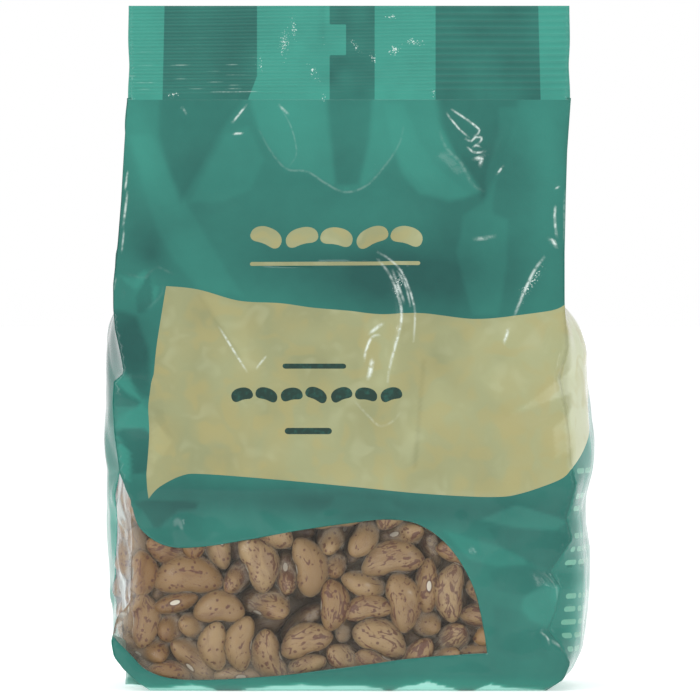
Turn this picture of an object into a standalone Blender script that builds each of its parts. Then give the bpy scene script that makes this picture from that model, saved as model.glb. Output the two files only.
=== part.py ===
"""Sealed film pack of dried pinto beans, standing on its folded base.

A side-gusseted film bag: two flat panels joined by pleated gussets, a crimped seal across the top,
a fin seam down the back and a crimped end folded flat under the base. A clear window runs across
the lower front and round the left gusset, and the beans in it are a node of their own.

Metres, +Z up. The front faces -Y. The origin is the centre of the base.
"""

import math
import random

import bmesh
import bpy
import numpy as np
from mathutils import Matrix, Vector

MM = 0.001

# Overall sizes of the pack
PANEL_WIDTH = 112.6 * MM
PACK_HEIGHT = 174 * MM
SEAL_HEIGHT = 23.6 * MM
SEAL_THICKNESS = 1.0 * MM
RIB_PITCH = 1.08 * MM
RIB_RELIEF = 0.2 * MM
BACK_SEAM_WIDTH = 11.5 * MM
BACK_SEAM_RELIEF = 0.7 * MM
BASE_SEAL_WIDTH = 14 * MM
BASE_SEAL_THICKNESS = 1.2 * MM
SEAL_BOTTOM = PACK_HEIGHT - SEAL_HEIGHT

# Form of the film at each height, in millimetres: height, how far the left and the right crease of
# the panels stand from the centre, half depth at the creases, how far the panels bulge past them,
# and how far the left and the right gusset stand out from the creases (in where negative)
FORM_KEYS = (
    (0.0, 49.8, 49.0, 27.5, 0.6, 0.8, 0.6),
    (1.8, 52.0, 51.8, 29.9, 1.4, 1.4, 1.9),
    (5.0, 54.2, 53.8, 31.0, 2.2, 3.2, 3.2),
    (11.0, 54.8, 54.5, 31.5, 3.1, 6.5, 5.0),
    (35.0, 54.9, 54.8, 31.5, 3.6, 7.1, 6.8),
    (46.0, 54.9, 54.8, 31.4, 3.6, 7.1, 6.0),
    (57.0, 55.0, 54.6, 31.2, 3.5, 6.9, 7.5),
    (70.0, 55.2, 54.4, 30.9, 3.2, 6.0, 6.4),
    (84.0, 56.8, 54.1, 29.4, 2.5, 5.2, 6.4),
    (91.0, 57.8, 53.8, 27.7, 2.0, 3.6, 4.6),
    (98.0, 58.7, 53.5, 25.4, 1.7, 0.2, 0.8),
    (104.0, 58.8, 53.4, 23.0, 1.5, -10.0, -11.0),
    (113.0, 58.0, 53.6, 19.2, 1.2, -23.0, -24.0),
    (128.0, 57.4, 54.8, 11.4, 0.8, -30.4, -30.4),
    (143.0, 57.5, 55.9, 3.6, 0.5, -32.6, -32.6),
    (150.4, 56.8, 56.8, 0.85, 0.0, -33.0, -33.0),
)
ROW_STEP = 4.2 * MM
PANEL_STEPS = 20
GUSSET_STEPS = 12
CREASE_EDGE = 0.3 * MM

# Hollows that the settled film keeps: side (-1 left, +1 right), height, reach along the side and
# up it, and depth, all in millimetres
DENTS = (
    (-1, 67.5, 17.0, 6.0, 2.0),
    (-1, 30.0, 14.0, 7.0, 1.6),
    (1, 55.0, 15.0, 6.0, 1.5),
    (1, 37.0, 18.0, 5.5, 2.1),
    (1, 20.0, 15.0, 5.0, 1.7),
    (1, 76.0, 14.0, 5.0, 1.4),
)

# The clear window, in millimetres: across the front as X and height, and on the left gusset as Y and
# height. Each tail runs out past the left front crease, where the two meet
FRONT_WINDOW = (
    (-70.0, 48.3), (-55.6, 48.3), (-51.5, 41.0), (-45.5, 36.9), (-36.8, 36.6), (-24.4, 38.8),
    (-12.0, 41.2), (0.0, 43.0), (9.0, 43.9), (16.5, 43.0), (22.6, 39.0), (27.4, 33.0),
    (31.1, 25.2), (33.2, 16.3), (34.2, 9.8), (17.5, 8.4), (0.0, 6.3), (-18.5, 4.4),
    (-33.8, 3.6), (-43.7, 4.0), (-49.4, 6.4), (-53.2, 10.4), (-55.6, 15.0), (-70.0, 15.0),
)
SIDE_WINDOW = (
    (-50.0, 48.3), (-31.5, 48.3), (-26.5, 59.0), (-21.0, 65.5), (-15.5, 61.0), (-9.0, 48.0),
    (-3.0, 33.0), (0.0, 22.0), (-4.0, 14.0), (-13.0, 11.5), (-31.5, 15.0), (-50.0, 15.0),
)
FRONT_POCKET_BACK = -26.8 * MM
SIDE_POCKET_BACK = -50.2 * MM
PIECE_GAP = 0.35 * MM
CORE_THICKNESS = 2.6 * MM

# The beans that show, and how far inside the film they stay
BEAN_LENGTH = 13.8 * MM
BEAN_WIDTH = 8.6 * MM
BEAN_THICKNESS = 6.4 * MM
BEAN_BEND = 0.16
BEAN_SPACING = 9.4 * MM
BEAN_CLEARANCE = 0.5 * MM
BEAN_STEP_IN = 0.4 * MM
BEAN_STEPS = 26
SEED = 11

TEAL = (0.052, 0.235, 0.205, 1.0)
BEAN_TAN = (0.300, 0.165, 0.095, 1.0)


def clear_scene():
    for obj in list(bpy.data.objects):
        bpy.data.objects.remove(obj)


def new_collection(name):
    collection = bpy.data.collections.new(name)
    bpy.context.scene.collection.children.link(collection)
    return collection


def new_material(name, colour, roughness):
    material = bpy.data.materials.new(name)
    material.use_nodes = True
    shader = material.node_tree.nodes["Principled BSDF"]
    shader.inputs["Base Color"].default_value = colour
    shader.inputs["Roughness"].default_value = roughness
    shader.inputs["Metallic"].default_value = 0.0
    return material


def new_object(name, mesh, collection):
    obj = bpy.data.objects.new(name, mesh)
    collection.objects.link(obj)
    return obj


def object_from_bmesh(name, bm, collection):
    bmesh.ops.recalc_face_normals(bm, faces=bm.faces[:])
    mesh = bpy.data.meshes.new(name)
    bm.to_mesh(mesh)
    bm.free()
    return new_object(name, mesh, collection)


def bake_modifiers(obj):
    """Replaces the object's mesh with what its modifiers make of it."""
    graph = bpy.context.evaluated_depsgraph_get()
    mesh = bpy.data.meshes.new_from_object(obj.evaluated_get(graph))
    obj.modifiers.clear()
    obj.data = mesh


def combine(obj, operation, other, solver="EXACT"):
    """Joins, cuts or keeps what is shared with another object, or with a collection of them."""
    modifier = obj.modifiers.new(operation.lower(), "BOOLEAN")
    modifier.operation = operation
    modifier.solver = solver
    if isinstance(other, bpy.types.Collection):
        modifier.operand_type = "COLLECTION"
        modifier.collection = other
    else:
        modifier.object = other
    bake_modifiers(obj)


def remove_objects(objects):
    for obj in list(objects):
        bpy.data.objects.remove(obj)


def keep_largest_piece(obj):
    """Drops the loose scraps that trimming leaves."""
    bm = bmesh.new()
    bm.from_mesh(obj.data)
    left = set(bm.verts)
    pieces = []
    while left:
        piece = {left.pop()}
        reached = list(piece)
        while reached:
            vert = reached.pop()
            for edge in vert.link_edges:
                other = edge.other_vert(vert)
                if other not in piece:
                    piece.add(other)
                    reached.append(other)
        left -= piece
        pieces.append(piece)
    pieces.sort(key=len)
    bmesh.ops.delete(bm, geom=[v for piece in pieces[:-1] for v in piece], context="VERTS")
    bm.to_mesh(obj.data)
    bm.free()


def smooth_value(heights, values, height):
    """Monotone cubic through the keys, so that the film never overshoots them."""
    steps = np.diff(heights)
    slopes = np.diff(values) / steps
    tangents = np.zeros(len(values))
    tangents[0] = slopes[0]
    tangents[-1] = slopes[-1]
    same_way = slopes[:-1] * slopes[1:] > 0
    tangents[1:-1][same_way] = (2 * slopes[:-1] * slopes[1:] / (slopes[:-1] + slopes[1:] + 1e-12))[same_way]
    i = int(np.clip(np.searchsorted(heights, height) - 1, 0, len(steps) - 1))
    t = (height - heights[i]) / steps[i]
    return (
        values[i] * (2 * t**3 - 3 * t**2 + 1)
        + tangents[i] * steps[i] * (t**3 - 2 * t**2 + t)
        + values[i + 1] * (3 * t**2 - 2 * t**3)
        + tangents[i + 1] * steps[i] * (t**3 - t**2)
    )


KEY_HEIGHTS, *KEY_COLUMNS = np.array(FORM_KEYS).T * MM


def form_at(height):
    """(left and right crease, half depth, panel bulge, left and right reach) at this height."""
    height = min(max(height, KEY_HEIGHTS[0]), KEY_HEIGHTS[-1])
    return [smooth_value(KEY_HEIGHTS, column, height) for column in KEY_COLUMNS]


def dent_depth(side, along, height):
    """How far the gusset side is pressed in, along being the distance behind the front crease."""
    depth = 0.0
    for dent_side, centre, reach, spread, most in DENTS:
        if dent_side == side:
            near_crease = math.exp(-((along / (reach * MM)) ** 2))
            near_height = math.exp(-(((height - centre * MM) / (spread * MM)) ** 2))
            depth += most * MM * near_crease * near_height
    return depth


def panel_point(side, share, height):
    """Point on the front (side -1) or back (side +1) panel, share running from -1 to 1 across it."""
    left, right, depth, bulge, _, _ = form_at(height)
    x = (right - left) / 2 + (right + left) / 2 * share
    y = depth + bulge * (1 - share * share)
    return Vector((x, side * y, height))


def gusset_point(side, share, height):
    """Point on the left (side -1) or right (side +1) gusset, share from -1 at the front to 1."""
    left, right, depth, _, reach_left, reach_right = form_at(height)
    crease, reach = (left, reach_left) if side < 0 else (right, reach_right)
    power = 2.0 if reach > 0 else max(1.06, 2.0 + reach / (12 * MM))
    x = crease + reach * (1 - abs(share) ** power)
    if reach > 0:
        x -= dent_depth(side, (share + 1) * depth, height) * min(1.0, reach / (4 * MM))
    return Vector((side * x, share * (depth - CREASE_EDGE), height))


def section(height):
    """The film's outline at one height, as a closed loop seen from above, anticlockwise."""
    loop = []
    for i in range(PANEL_STEPS + 1):
        loop.append(panel_point(-1, -1 + 2 * i / PANEL_STEPS, height))
    for i in range(GUSSET_STEPS + 1):
        loop.append(gusset_point(1, -1 + 2 * i / GUSSET_STEPS, height))
    for share in back_shares():
        point = panel_point(1, share, height)
        if abs(share) * PANEL_WIDTH < BACK_SEAM_WIDTH * 0.98:
            point.y += BACK_SEAM_RELIEF
        loop.append(point)
    for i in range(GUSSET_STEPS + 1):
        loop.append(gusset_point(-1, 1 - 2 * i / GUSSET_STEPS, height))
    return loop


def back_shares():
    """Places across the back panel, right to left, with a close pair at each edge of the fin seam."""
    seam = BACK_SEAM_WIDTH / PANEL_WIDTH
    outer = [1 - (1 - seam) * i / (PANEL_STEPS // 2 - 1) for i in range(PANEL_STEPS // 2)]
    inner = [seam * 0.95, 0.0, -seam * 0.95]
    return outer + inner + [-share for share in reversed(outer)]


def film_body(collection):
    """The filled bag from its base to the seal, lofted through sections of unlike form."""
    heights = list(KEY_HEIGHTS[:3])
    rows = round((SEAL_BOTTOM - heights[-1]) / ROW_STEP)
    first = heights[-1]
    heights += [first + (SEAL_BOTTOM - first) * i / rows for i in range(1, rows + 1)]
    bm = bmesh.new()
    loops = [[bm.verts.new(point) for point in section(height)] for height in heights]
    for low, high in zip(loops, loops[1:]):
        for i in range(len(low)):
            j = (i + 1) % len(low)
            bm.faces.new((low[i], low[j], high[j], high[i]))
    bm.faces.new(reversed(loops[0]))
    bm.faces.new(loops[-1])
    return object_from_bmesh("bag", bm, collection)


def box(name, low, high, collection):
    bm = bmesh.new()
    bmesh.ops.create_cube(bm, size=1.0)
    size = Vector(high) - Vector(low)
    middle = (Vector(high) + Vector(low)) / 2
    bmesh.ops.transform(bm, matrix=Matrix.Translation(middle) @ Matrix.Diagonal(size.to_4d()), verts=bm.verts[:])
    return object_from_bmesh(name, bm, collection)


def top_seal(collection):
    """The crimped seal: a flat strip with ribs pressed across both faces."""
    half = PANEL_WIDTH / 2
    thick = SEAL_THICKNESS / 2
    overlap = 1.0 * MM
    inset = 0.4 * MM
    box("seal_strip", (-half, -thick, SEAL_BOTTOM - overlap), (half, thick, PACK_HEIGHT), collection)
    ribs = int(SEAL_HEIGHT / RIB_PITCH)
    margin = (SEAL_HEIGHT - (ribs - 1) * RIB_PITCH) / 2
    for i in range(ribs):
        z = SEAL_BOTTOM + margin + i * RIB_PITCH
        corner = Vector((half - inset, thick + RIB_RELIEF, RIB_PITCH * 0.24))
        middle = Vector((0, 0, z))
        box(f"rib_{i}", middle - corner, middle + corner, collection)


def base_seal(collection):
    """The crimped end folded flat under the base, whose left end curls up past the bag's corner."""
    half = PANEL_WIDTH / 2
    thick = BASE_SEAL_THICKNESS
    outline = [
        (half - 1 * MM, 0.0),
        (half, thick),
        (-half + 8 * MM, thick),
        (-half + 3 * MM, thick + 0.8 * MM),
        (-half + 0.2 * MM, thick + 2.6 * MM),
        (-half - 0.8 * MM, thick + 2.2 * MM),
        (-half - 0.3 * MM, 0.8 * MM),
        (-half + 3.5 * MM, 0.0),
    ]
    bm = bmesh.new()
    near = [bm.verts.new((x, -BASE_SEAL_WIDTH / 2, z)) for x, z in outline]
    bm.faces.new(near)
    made = bmesh.ops.extrude_face_region(bm, geom=bm.faces[:])
    moved = [item for item in made["geom"] if isinstance(item, bmesh.types.BMVert)]
    bmesh.ops.translate(bm, vec=(0, BASE_SEAL_WIDTH, 0), verts=moved)
    return object_from_bmesh("base_seal", bm, collection)


def base_grooves(collection):
    """The step along each side of the folded end, cut into the flat base."""
    half = PANEL_WIDTH / 2 - 9 * MM
    groove = 0.5 * MM
    for side in (-1, 1):
        y = side * BASE_SEAL_WIDTH / 2
        box(f"groove_{side}", (-half, y - groove / 2, -groove), (half, y + groove / 2, groove), collection)


def smooth_outline(points, steps=3):
    """A Catmull-Rom curve through the points in order; the first and last stay corners."""
    points = [Vector(p) * MM for p in points]
    curve = []
    for i in range(len(points) - 1):
        before = points[max(i - 1, 0)]
        start, end = points[i], points[i + 1]
        after = points[min(i + 2, len(points) - 1)]
        for j in range(steps):
            t = j / steps
            curve.append(
                0.5 * (2 * start + (end - before) * t
                       + (2 * before - 5 * start + 4 * end - after) * t**2
                       + (3 * start - before - 3 * end + after) * t**3)
            )
    curve.append(points[-1])
    return curve


def shrunk(outline, gap):
    """The closed outline moved inwards by a gap, for an outline that runs clockwise."""
    moved = []
    for i, point in enumerate(outline):
        along = (outline[(i + 1) % len(outline)] - outline[i - 1]).normalized()
        moved.append(point + Vector((along.y, -along.x)) * gap)
    return moved


def prism(name, outline, place, near, far, collection):
    """The outline between two planes: place turns (across, up, depth) into a point."""
    bm = bmesh.new()
    ends = [[bm.verts.new(place(p.x, p.y, depth)) for p in outline] for depth in (near, far)]
    count = len(outline)
    for i in range(count):
        j = (i + 1) % count
        bm.faces.new((ends[0][i], ends[0][j], ends[1][j], ends[1][i]))
    bm.faces.new(ends[0])
    bm.faces.new(list(reversed(ends[1])))
    return object_from_bmesh(name, bm, collection)


def window_prisms(name, gap, front_near, side_near, collection):
    """The space behind the window, front and side together, up to the pocket's back walls."""
    front = prism(
        f"{name}_front", shrunk(smooth_outline(FRONT_WINDOW), gap),
        lambda across, up, depth: (across, depth, up),
        front_near, FRONT_POCKET_BACK - gap, collection,
    )
    side = prism(
        f"{name}_side", shrunk(smooth_outline(SIDE_WINDOW), gap),
        lambda across, up, depth: (depth, across, up),
        side_near, SIDE_POCKET_BACK - gap, collection,
    )
    combine(front, "UNION", side)
    bpy.data.objects.remove(side)
    return front


def inside_film(point, clearance):
    """True if the point lies inside the film by at least the clearance."""
    left, right, depth, bulge, reach_left, reach_right = form_at(point.z)
    side = -1 if point.x < 0 else 1
    crease, reach = (left, reach_left) if side < 0 else (right, reach_right)
    panel = depth + bulge * (1 - min(1.0, (point.x / crease) ** 2))
    share = max(-1.0, min(1.0, point.y / depth))
    gusset = crease + max(0.0, reach) * (1 - share * share) - dent_depth(side, (share + 1) * depth, point.z)
    return abs(point.y) < panel - clearance and abs(point.x) < gusset - clearance


def bean_mesh(bm, matrix, length, width, thickness):
    """One bean: an ellipsoid bent to a kidney, with a slight waist on its inner side."""
    made = bmesh.ops.create_uvsphere(bm, u_segments=10, v_segments=6, radius=1.0)
    turn = Matrix.Rotation(math.pi / 2, 4, "Y")
    for vert in made["verts"]:
        p = turn @ vert.co
        fullness = (1 - abs(p.x) ** 2.6 * 0.12)
        x = p.x * length / 2
        y = p.y * width / 2 * fullness - BEAN_BEND * width * (p.x * p.x - 0.35)
        z = p.z * thickness / 2 * fullness
        vert.co = matrix @ Vector((x, y, z))


def place_on(point, normal, turn_angle, tilt, depth):
    """Frame of a bean lying against the film: its flat side along the film, turned and tilted."""
    z_axis = normal
    x_axis = Vector((0, 0, 1)).cross(z_axis).normalized()
    y_axis = z_axis.cross(x_axis)
    lie = Matrix((x_axis, y_axis, z_axis)).transposed().to_4x4()
    turned = Matrix.Rotation(turn_angle, 4, "Z") @ Matrix.Rotation(tilt, 4, "X")
    return Matrix.Translation(point - normal * depth) @ lie @ turned


def film_places():
    """(point on the film, outward normal) over the front window and round to the left gusset."""
    places = []
    row = 0
    height = 7.0 * MM
    while height < 70 * MM:
        across = -27 * MM + (row % 2) * BEAN_SPACING / 2
        while across < 93 * MM:
            places.append((across, height))
            across += BEAN_SPACING
        height += BEAN_SPACING * 0.82
        row += 1
    return places


def film_frame(across, height):
    """Point and outward normal at a distance from the left front crease: to the right on the front
    panel, and round the corner on the left gusset where it is negative."""
    left, right, depth, *_ = form_at(height)

    def at(s, z):
        if s >= 0:
            return panel_point(-1, -1 + 2 * s / (left + right), z)
        return gusset_point(-1, -1 - s / depth, z)

    step = 3.0 * MM
    point = at(across, height)
    along = at(across + step, height) - at(across - step, height)
    up = at(across, height + step) - at(across, height - step)
    return point, along.cross(up).normalized()


def bean_pieces(collection):
    """The beans that lie against the film in and round the window, each one its own object."""
    draw = random.Random(SEED)
    for i, (across, height) in enumerate(film_places()):
        across += draw.uniform(-1, 1) * BEAN_SPACING * 0.22
        height += draw.uniform(-1, 1) * BEAN_SPACING * 0.18
        size = draw.uniform(0.88, 1.10)
        length = BEAN_LENGTH * size * draw.uniform(0.95, 1.05)
        width = BEAN_WIDTH * size * draw.uniform(0.95, 1.05)
        thickness = BEAN_THICKNESS * size
        turn_angle = draw.uniform(0, 2 * math.pi)
        tilt = draw.gauss(0, 0.35)
        depth = thickness / 2 + BEAN_CLEARANCE + abs(draw.gauss(0, 0.7 * MM))
        if height > 49 * MM and (across > 2 * MM or height > 68 * MM):
            continue
        point, normal = film_frame(across, height)
        for _ in range(BEAN_STEPS):
            frame = place_on(point, normal, turn_angle, tilt, depth)
            bm = bmesh.new()
            bean_mesh(bm, frame, length, width, thickness)
            if all(inside_film(vert.co, BEAN_CLEARANCE) for vert in bm.verts):
                break
            bm.free()
            depth += BEAN_STEP_IN
        else:
            continue
        object_from_bmesh(f"bean_{i}", bm, collection)


def build_beans(parts, pieces):
    """The heap as it shows in the window: beans fused on a thin core, trimmed to the window."""
    core_front = FRONT_POCKET_BACK - PIECE_GAP - CORE_THICKNESS
    core_side = SIDE_POCKET_BACK - PIECE_GAP - CORE_THICKNESS
    beans = window_prisms("core", PIECE_GAP, core_front, core_side, parts)
    beans.name = "beans"
    limits = new_collection("limits")
    corner = box("corner", (core_side, core_front, 0.0), (PANEL_WIDTH, PANEL_WIDTH, PACK_HEIGHT), limits)
    combine(beans, "INTERSECT", corner)
    trim = window_prisms("trim", PIECE_GAP, -50 * MM, -75 * MM, limits)
    bean_pieces(pieces)
    combine(beans, "UNION", pieces)
    remove_objects(pieces.objects)
    combine(beans, "INTERSECT", trim)
    keep_largest_piece(beans)
    remove_objects(limits.objects)
    bpy.data.collections.remove(limits)
    return beans


def shade(obj, material):
    obj.data.materials.clear()
    obj.data.materials.append(material)
    obj.data.shade_smooth()
    obj.data.set_sharp_from_angle(angle=math.radians(35))


def main():
    clear_scene()
    parts = new_collection("bean_pack")
    helpers = new_collection("helpers")

    bag = film_body(parts)
    top_seal(helpers)
    base_seal(helpers)
    combine(bag, "UNION", helpers)
    remove_objects(helpers.objects)
    base_grooves(helpers)
    window_prisms("window", 0.0, -50 * MM, -75 * MM, helpers)
    combine(bag, "DIFFERENCE", helpers)
    remove_objects(helpers.objects)

    beans = build_beans(parts, helpers)
    bpy.data.collections.remove(helpers)
    shade(bag, new_material("printed_film", TEAL, 0.28))
    shade(beans, new_material("beans", BEAN_TAN, 0.5))


main()
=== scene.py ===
"""Looks of a sealed film pack of dried speckled beans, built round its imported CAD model.

The film is four panels (front, two gussets, back) whose print is cut into the mesh, with wrinkles,
dents and bean bumps in the shape. The clear window is a sheet of its own, with loose beans packed
behind it. Lengths in the tables are millimetres, and the scene is in metres.
"""

import math
from contextlib import contextmanager

import bmesh
import bpy
import numpy as np
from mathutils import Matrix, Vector
from mathutils.bvhtree import BVHTree
from mathutils.geometry import delaunay_2d_cdt


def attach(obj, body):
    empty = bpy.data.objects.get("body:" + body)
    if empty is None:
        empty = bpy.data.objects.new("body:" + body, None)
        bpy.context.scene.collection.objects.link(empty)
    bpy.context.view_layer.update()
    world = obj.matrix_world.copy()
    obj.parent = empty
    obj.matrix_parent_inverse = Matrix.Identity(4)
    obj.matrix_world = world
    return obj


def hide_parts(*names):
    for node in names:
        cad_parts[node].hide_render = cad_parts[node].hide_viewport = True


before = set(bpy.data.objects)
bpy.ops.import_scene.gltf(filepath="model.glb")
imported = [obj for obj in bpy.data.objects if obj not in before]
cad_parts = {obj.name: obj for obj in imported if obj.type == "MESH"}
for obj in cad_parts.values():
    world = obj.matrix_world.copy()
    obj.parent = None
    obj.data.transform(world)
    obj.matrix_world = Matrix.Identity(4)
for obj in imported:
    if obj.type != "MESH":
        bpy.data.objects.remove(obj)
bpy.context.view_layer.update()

MM = 0.001
FAR = 1e9

# Form of the film at each height, as in the CAD source: height, how far the left and the right
# crease stand from the centre, half depth at the creases, panel bulge, left and right gusset reach
FORM_KEYS = (
    (0.0, 49.8, 49.0, 27.5, 0.6, 0.8, 0.6),
    (1.8, 52.0, 51.8, 29.9, 1.4, 1.4, 1.9),
    (5.0, 54.2, 53.8, 31.0, 2.2, 3.2, 3.2),
    (11.0, 54.8, 54.5, 31.5, 3.1, 6.5, 5.0),
    (35.0, 54.9, 54.8, 31.5, 3.6, 7.1, 6.8),
    (46.0, 54.9, 54.8, 31.4, 3.6, 7.1, 6.0),
    (57.0, 55.0, 54.6, 31.2, 3.5, 6.9, 7.5),
    (70.0, 55.2, 54.4, 30.9, 3.2, 6.0, 6.4),
    (84.0, 56.8, 54.1, 29.4, 2.5, 5.2, 6.4),
    (91.0, 57.8, 53.8, 27.7, 2.0, 3.6, 4.6),
    (98.0, 58.7, 53.5, 25.4, 1.7, 0.2, 0.8),
    (104.0, 58.8, 53.4, 23.0, 1.5, -10.0, -11.0),
    (113.0, 58.0, 53.6, 19.2, 1.2, -23.0, -24.0),
    (128.0, 57.4, 54.8, 11.4, 0.8, -30.4, -30.4),
    (143.0, 57.5, 55.9, 3.6, 0.5, -32.6, -32.6),
    (150.4, 56.8, 56.8, 0.85, 0.0, -33.0, -33.0),
)
FORM = np.array(FORM_KEYS).T
PACK_HEIGHT = 174.0
SEAL_BOTTOM = 150.4
SEAL_HALF_WIDTH = 56.3
PANEL_HALF = 55.0
GUSSET_WIDTH = 63.0
FILL_HEIGHT = 88.0
FILM_THICKNESS = 0.12
STRIP_THICKNESS = 0.16
# Distance between mesh points: along the panels' lower and upper edges, and over the panels
EDGE_SPACING = 0.95
FRONT_SPACING = 0.78
PANEL_SPACING = 1.0

# Print on the front panel, as seen from the front: X and height
FRONT_WINDOW_TOP = (
    (-54.9, 48.3), (-52.9, 41.2), (-46.6, 36.9), (-37.8, 36.6), (-25.0, 38.6), (-12.4, 40.9),
    (0.3, 42.7), (9.1, 43.6), (16.7, 42.7), (23.1, 38.9), (28.1, 33.0), (31.9, 25.4), (34.0, 16.5),
    (35.0, 9.6),
)
FRONT_WINDOW_BOTTOM = (
    (35.0, 9.6), (18.0, 8.4), (0.0, 6.1), (-19.0, 4.1), (-34.7, 3.2), (-44.8, 3.4), (-50.2, 5.4),
    (-52.3, 9.2), (-54.9, 14.5),
)
FRONT_CREAM_TOP = (
    (-46.4, 102.6), (-38.3, 101.8), (-27.8, 98.9), (-17.2, 98.3), (-8.8, 97.2), (0.3, 96.4),
    (8.6, 95.4), (19.3, 95.6), (31.6, 94.3), (42.3, 95.0), (50.7, 96.4), (53.5, 97.8),
)
FRONT_CREAM_BOTTOM = (
    (54.5, 56.5), (51.9, 53.6), (44.3, 50.4), (36.4, 49.3), (18.5, 50.2), (0.3, 52.0), (-19.0, 53.8),
    (-36.7, 55.1), (-42.3, 54.7), (-47.6, 51.9), (-50.6, 48.8),
)
FRONT_CREAM_LEFT = (
    (-50.6, 48.8), (-50.4, 53.4), (-49.5, 65.0), (-49.7, 73.7), (-48.8, 86.4), (-46.4, 102.6),
)
# Print on the gussets: distance behind the front crease, and height
LEFT_WINDOW = (
    (0.0, 48.3), (3.5, 58.0), (8.0, 65.0), (12.5, 60.0), (15.5, 48.0), (17.5, 35.0), (18.0, 24.0),
    (15.5, 15.5), (10.5, 12.2), (5.0, 12.4), (0.0, 14.5),
)
RIGHT_CREAM = (
    (0.0, 97.8), (9.0, 99.0), (20.0, 97.0), (31.0, 91.0), (36.0, 84.0), (31.0, 77.0), (20.0, 69.5),
    (9.0, 62.0), (0.0, 56.5),
)


def form_at(z):
    """Monotone cubic through the form's keys at an array of heights; one row for each column."""
    z = np.clip(z, FORM[0][0], FORM[0][-1])
    heights = FORM[0]
    steps = np.diff(heights)
    i = np.clip(np.searchsorted(heights, z) - 1, 0, len(steps) - 1)
    t = (z - heights[i]) / steps[i]
    rows = []
    for values in FORM[1:]:
        slopes = np.diff(values) / steps
        tangents = np.zeros(len(values))
        tangents[0] = slopes[0]
        tangents[-1] = slopes[-1]
        same_way = slopes[:-1] * slopes[1:] > 0
        mean = 2 * slopes[:-1] * slopes[1:] / (slopes[:-1] + slopes[1:] + 1e-12)
        tangents[1:-1][same_way] = mean[same_way]
        rows.append(
            values[i] * (2 * t**3 - 3 * t**2 + 1)
            + tangents[i] * steps[i] * (t**3 - 2 * t**2 + t)
            + values[i + 1] * (3 * t**2 - 2 * t**3)
            + tangents[i + 1] * steps[i] * (t**3 - t**2)
        )
    return rows


def smooth_step(low, high, value):
    """0 below low and 1 above high, with a soft rise between them."""
    t = np.clip((value - low) / (high - low), 0.0, 1.0)
    return t * t * (3 - 2 * t)


class Panel:
    """One panel of the film, with its own flat coordinates: across it and up it, in millimetres."""

    def __init__(self, name):
        self.name = name
        self.side = {"front": -1, "back": 1, "left": -1, "right": 1}[name]
        self.is_gusset = name in ("left", "right")
        self.width = GUSSET_WIDTH if self.is_gusset else 2 * PANEL_HALF

    def smooth_point(self, s, z):
        """Place of the film before its wrinkles. s runs from 0 to the panel's width."""
        left, right, depth, bulge, reach_left, reach_right = form_at(z)
        share = 2 * s / self.width - 1
        if not self.is_gusset:
            x = (right - left) / 2 + (right + left) / 2 * share
            y = self.side * (depth + bulge * (1 - share * share))
            return np.stack([x, y, z], axis=-1)
        crease, reach = (left, reach_left) if self.side < 0 else (right, reach_right)
        full = 2.0 if self.side < 0 else 2.0 + 1.4 * smooth_step(0.0, 4.0, reach)
        power = np.where(reach > 0, full, np.maximum(1.06, 2.0 + reach / 12.0))
        x = crease + reach * (1 - np.abs(share) ** power)
        return np.stack([self.side * x, share * depth, z], axis=-1)

    def normal(self, s, z):
        """Outward unit normal of the smooth film."""
        step = 0.4
        across = self.smooth_point(s + step, z) - self.smooth_point(s - step, z)
        z_low = np.clip(z - step, 0, SEAL_BOTTOM)
        z_high = np.clip(z + step, 0, SEAL_BOTTOM)
        up = self.smooth_point(s, z_high) - self.smooth_point(s, z_low)
        normal = np.cross(across, up)
        if self.name in ("back", "left"):
            normal = -normal
        return normal / np.maximum(np.linalg.norm(normal, axis=-1, keepdims=True), 1e-9)

    def edge_places(self):
        """Where the mesh points of its lower and upper edges are, across it."""
        return np.linspace(0, self.width, int(self.width / EDGE_SPACING) + 1)

    def from_front_view(self, points):
        """Turns outline points given as X and height into the panel's own coordinates."""
        points = np.array(points, dtype=float)
        left, right, *_ = form_at(points[:, 1])
        share = (points[:, 0] - (right - left) / 2) / ((right + left) / 2)
        return np.stack([(share + 1) / 2 * self.width, points[:, 1]], axis=-1)


def unit_rows(vectors):
    """The same directions, each one long."""
    return vectors / np.linalg.norm(vectors, axis=-1, keepdims=True)


def value_noise(s, z, cell, seed, lattice=64):
    """Smooth noise between -1 and 1 whose bumps are about one cell across."""
    grid = np.random.default_rng(seed).uniform(-1, 1, size=(lattice, lattice))
    u = s / cell + 7.3
    v = z / cell + 3.1
    i = np.floor(u).astype(int)
    j = np.floor(v).astype(int)
    fu = smooth_step(0, 1, u - i)
    fv = smooth_step(0, 1, v - j)
    a = grid[i % lattice, j % lattice]
    b = grid[(i + 1) % lattice, j % lattice]
    c = grid[i % lattice, (j + 1) % lattice]
    d = grid[(i + 1) % lattice, (j + 1) % lattice]
    return (a * (1 - fu) + b * fu) * (1 - fv) + (c * (1 - fu) + d * fu) * fv


def view_noise(x, z, cell, seed):
    """The same noise over the front view, whose X is 0 in the middle."""
    return value_noise(x + 60, z, cell, seed)


def scattered_places(rng, columns, rows, pitch, start=-0.5, jitter=0.45):
    """Places near the points of a grid, each drawn when it is asked for."""
    for i in range(columns):
        for j in range(rows):
            along = (i + start + rng.uniform(-jitter, jitter)) * pitch
            yield along, (j + start + rng.uniform(-jitter, jitter)) * pitch


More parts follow.
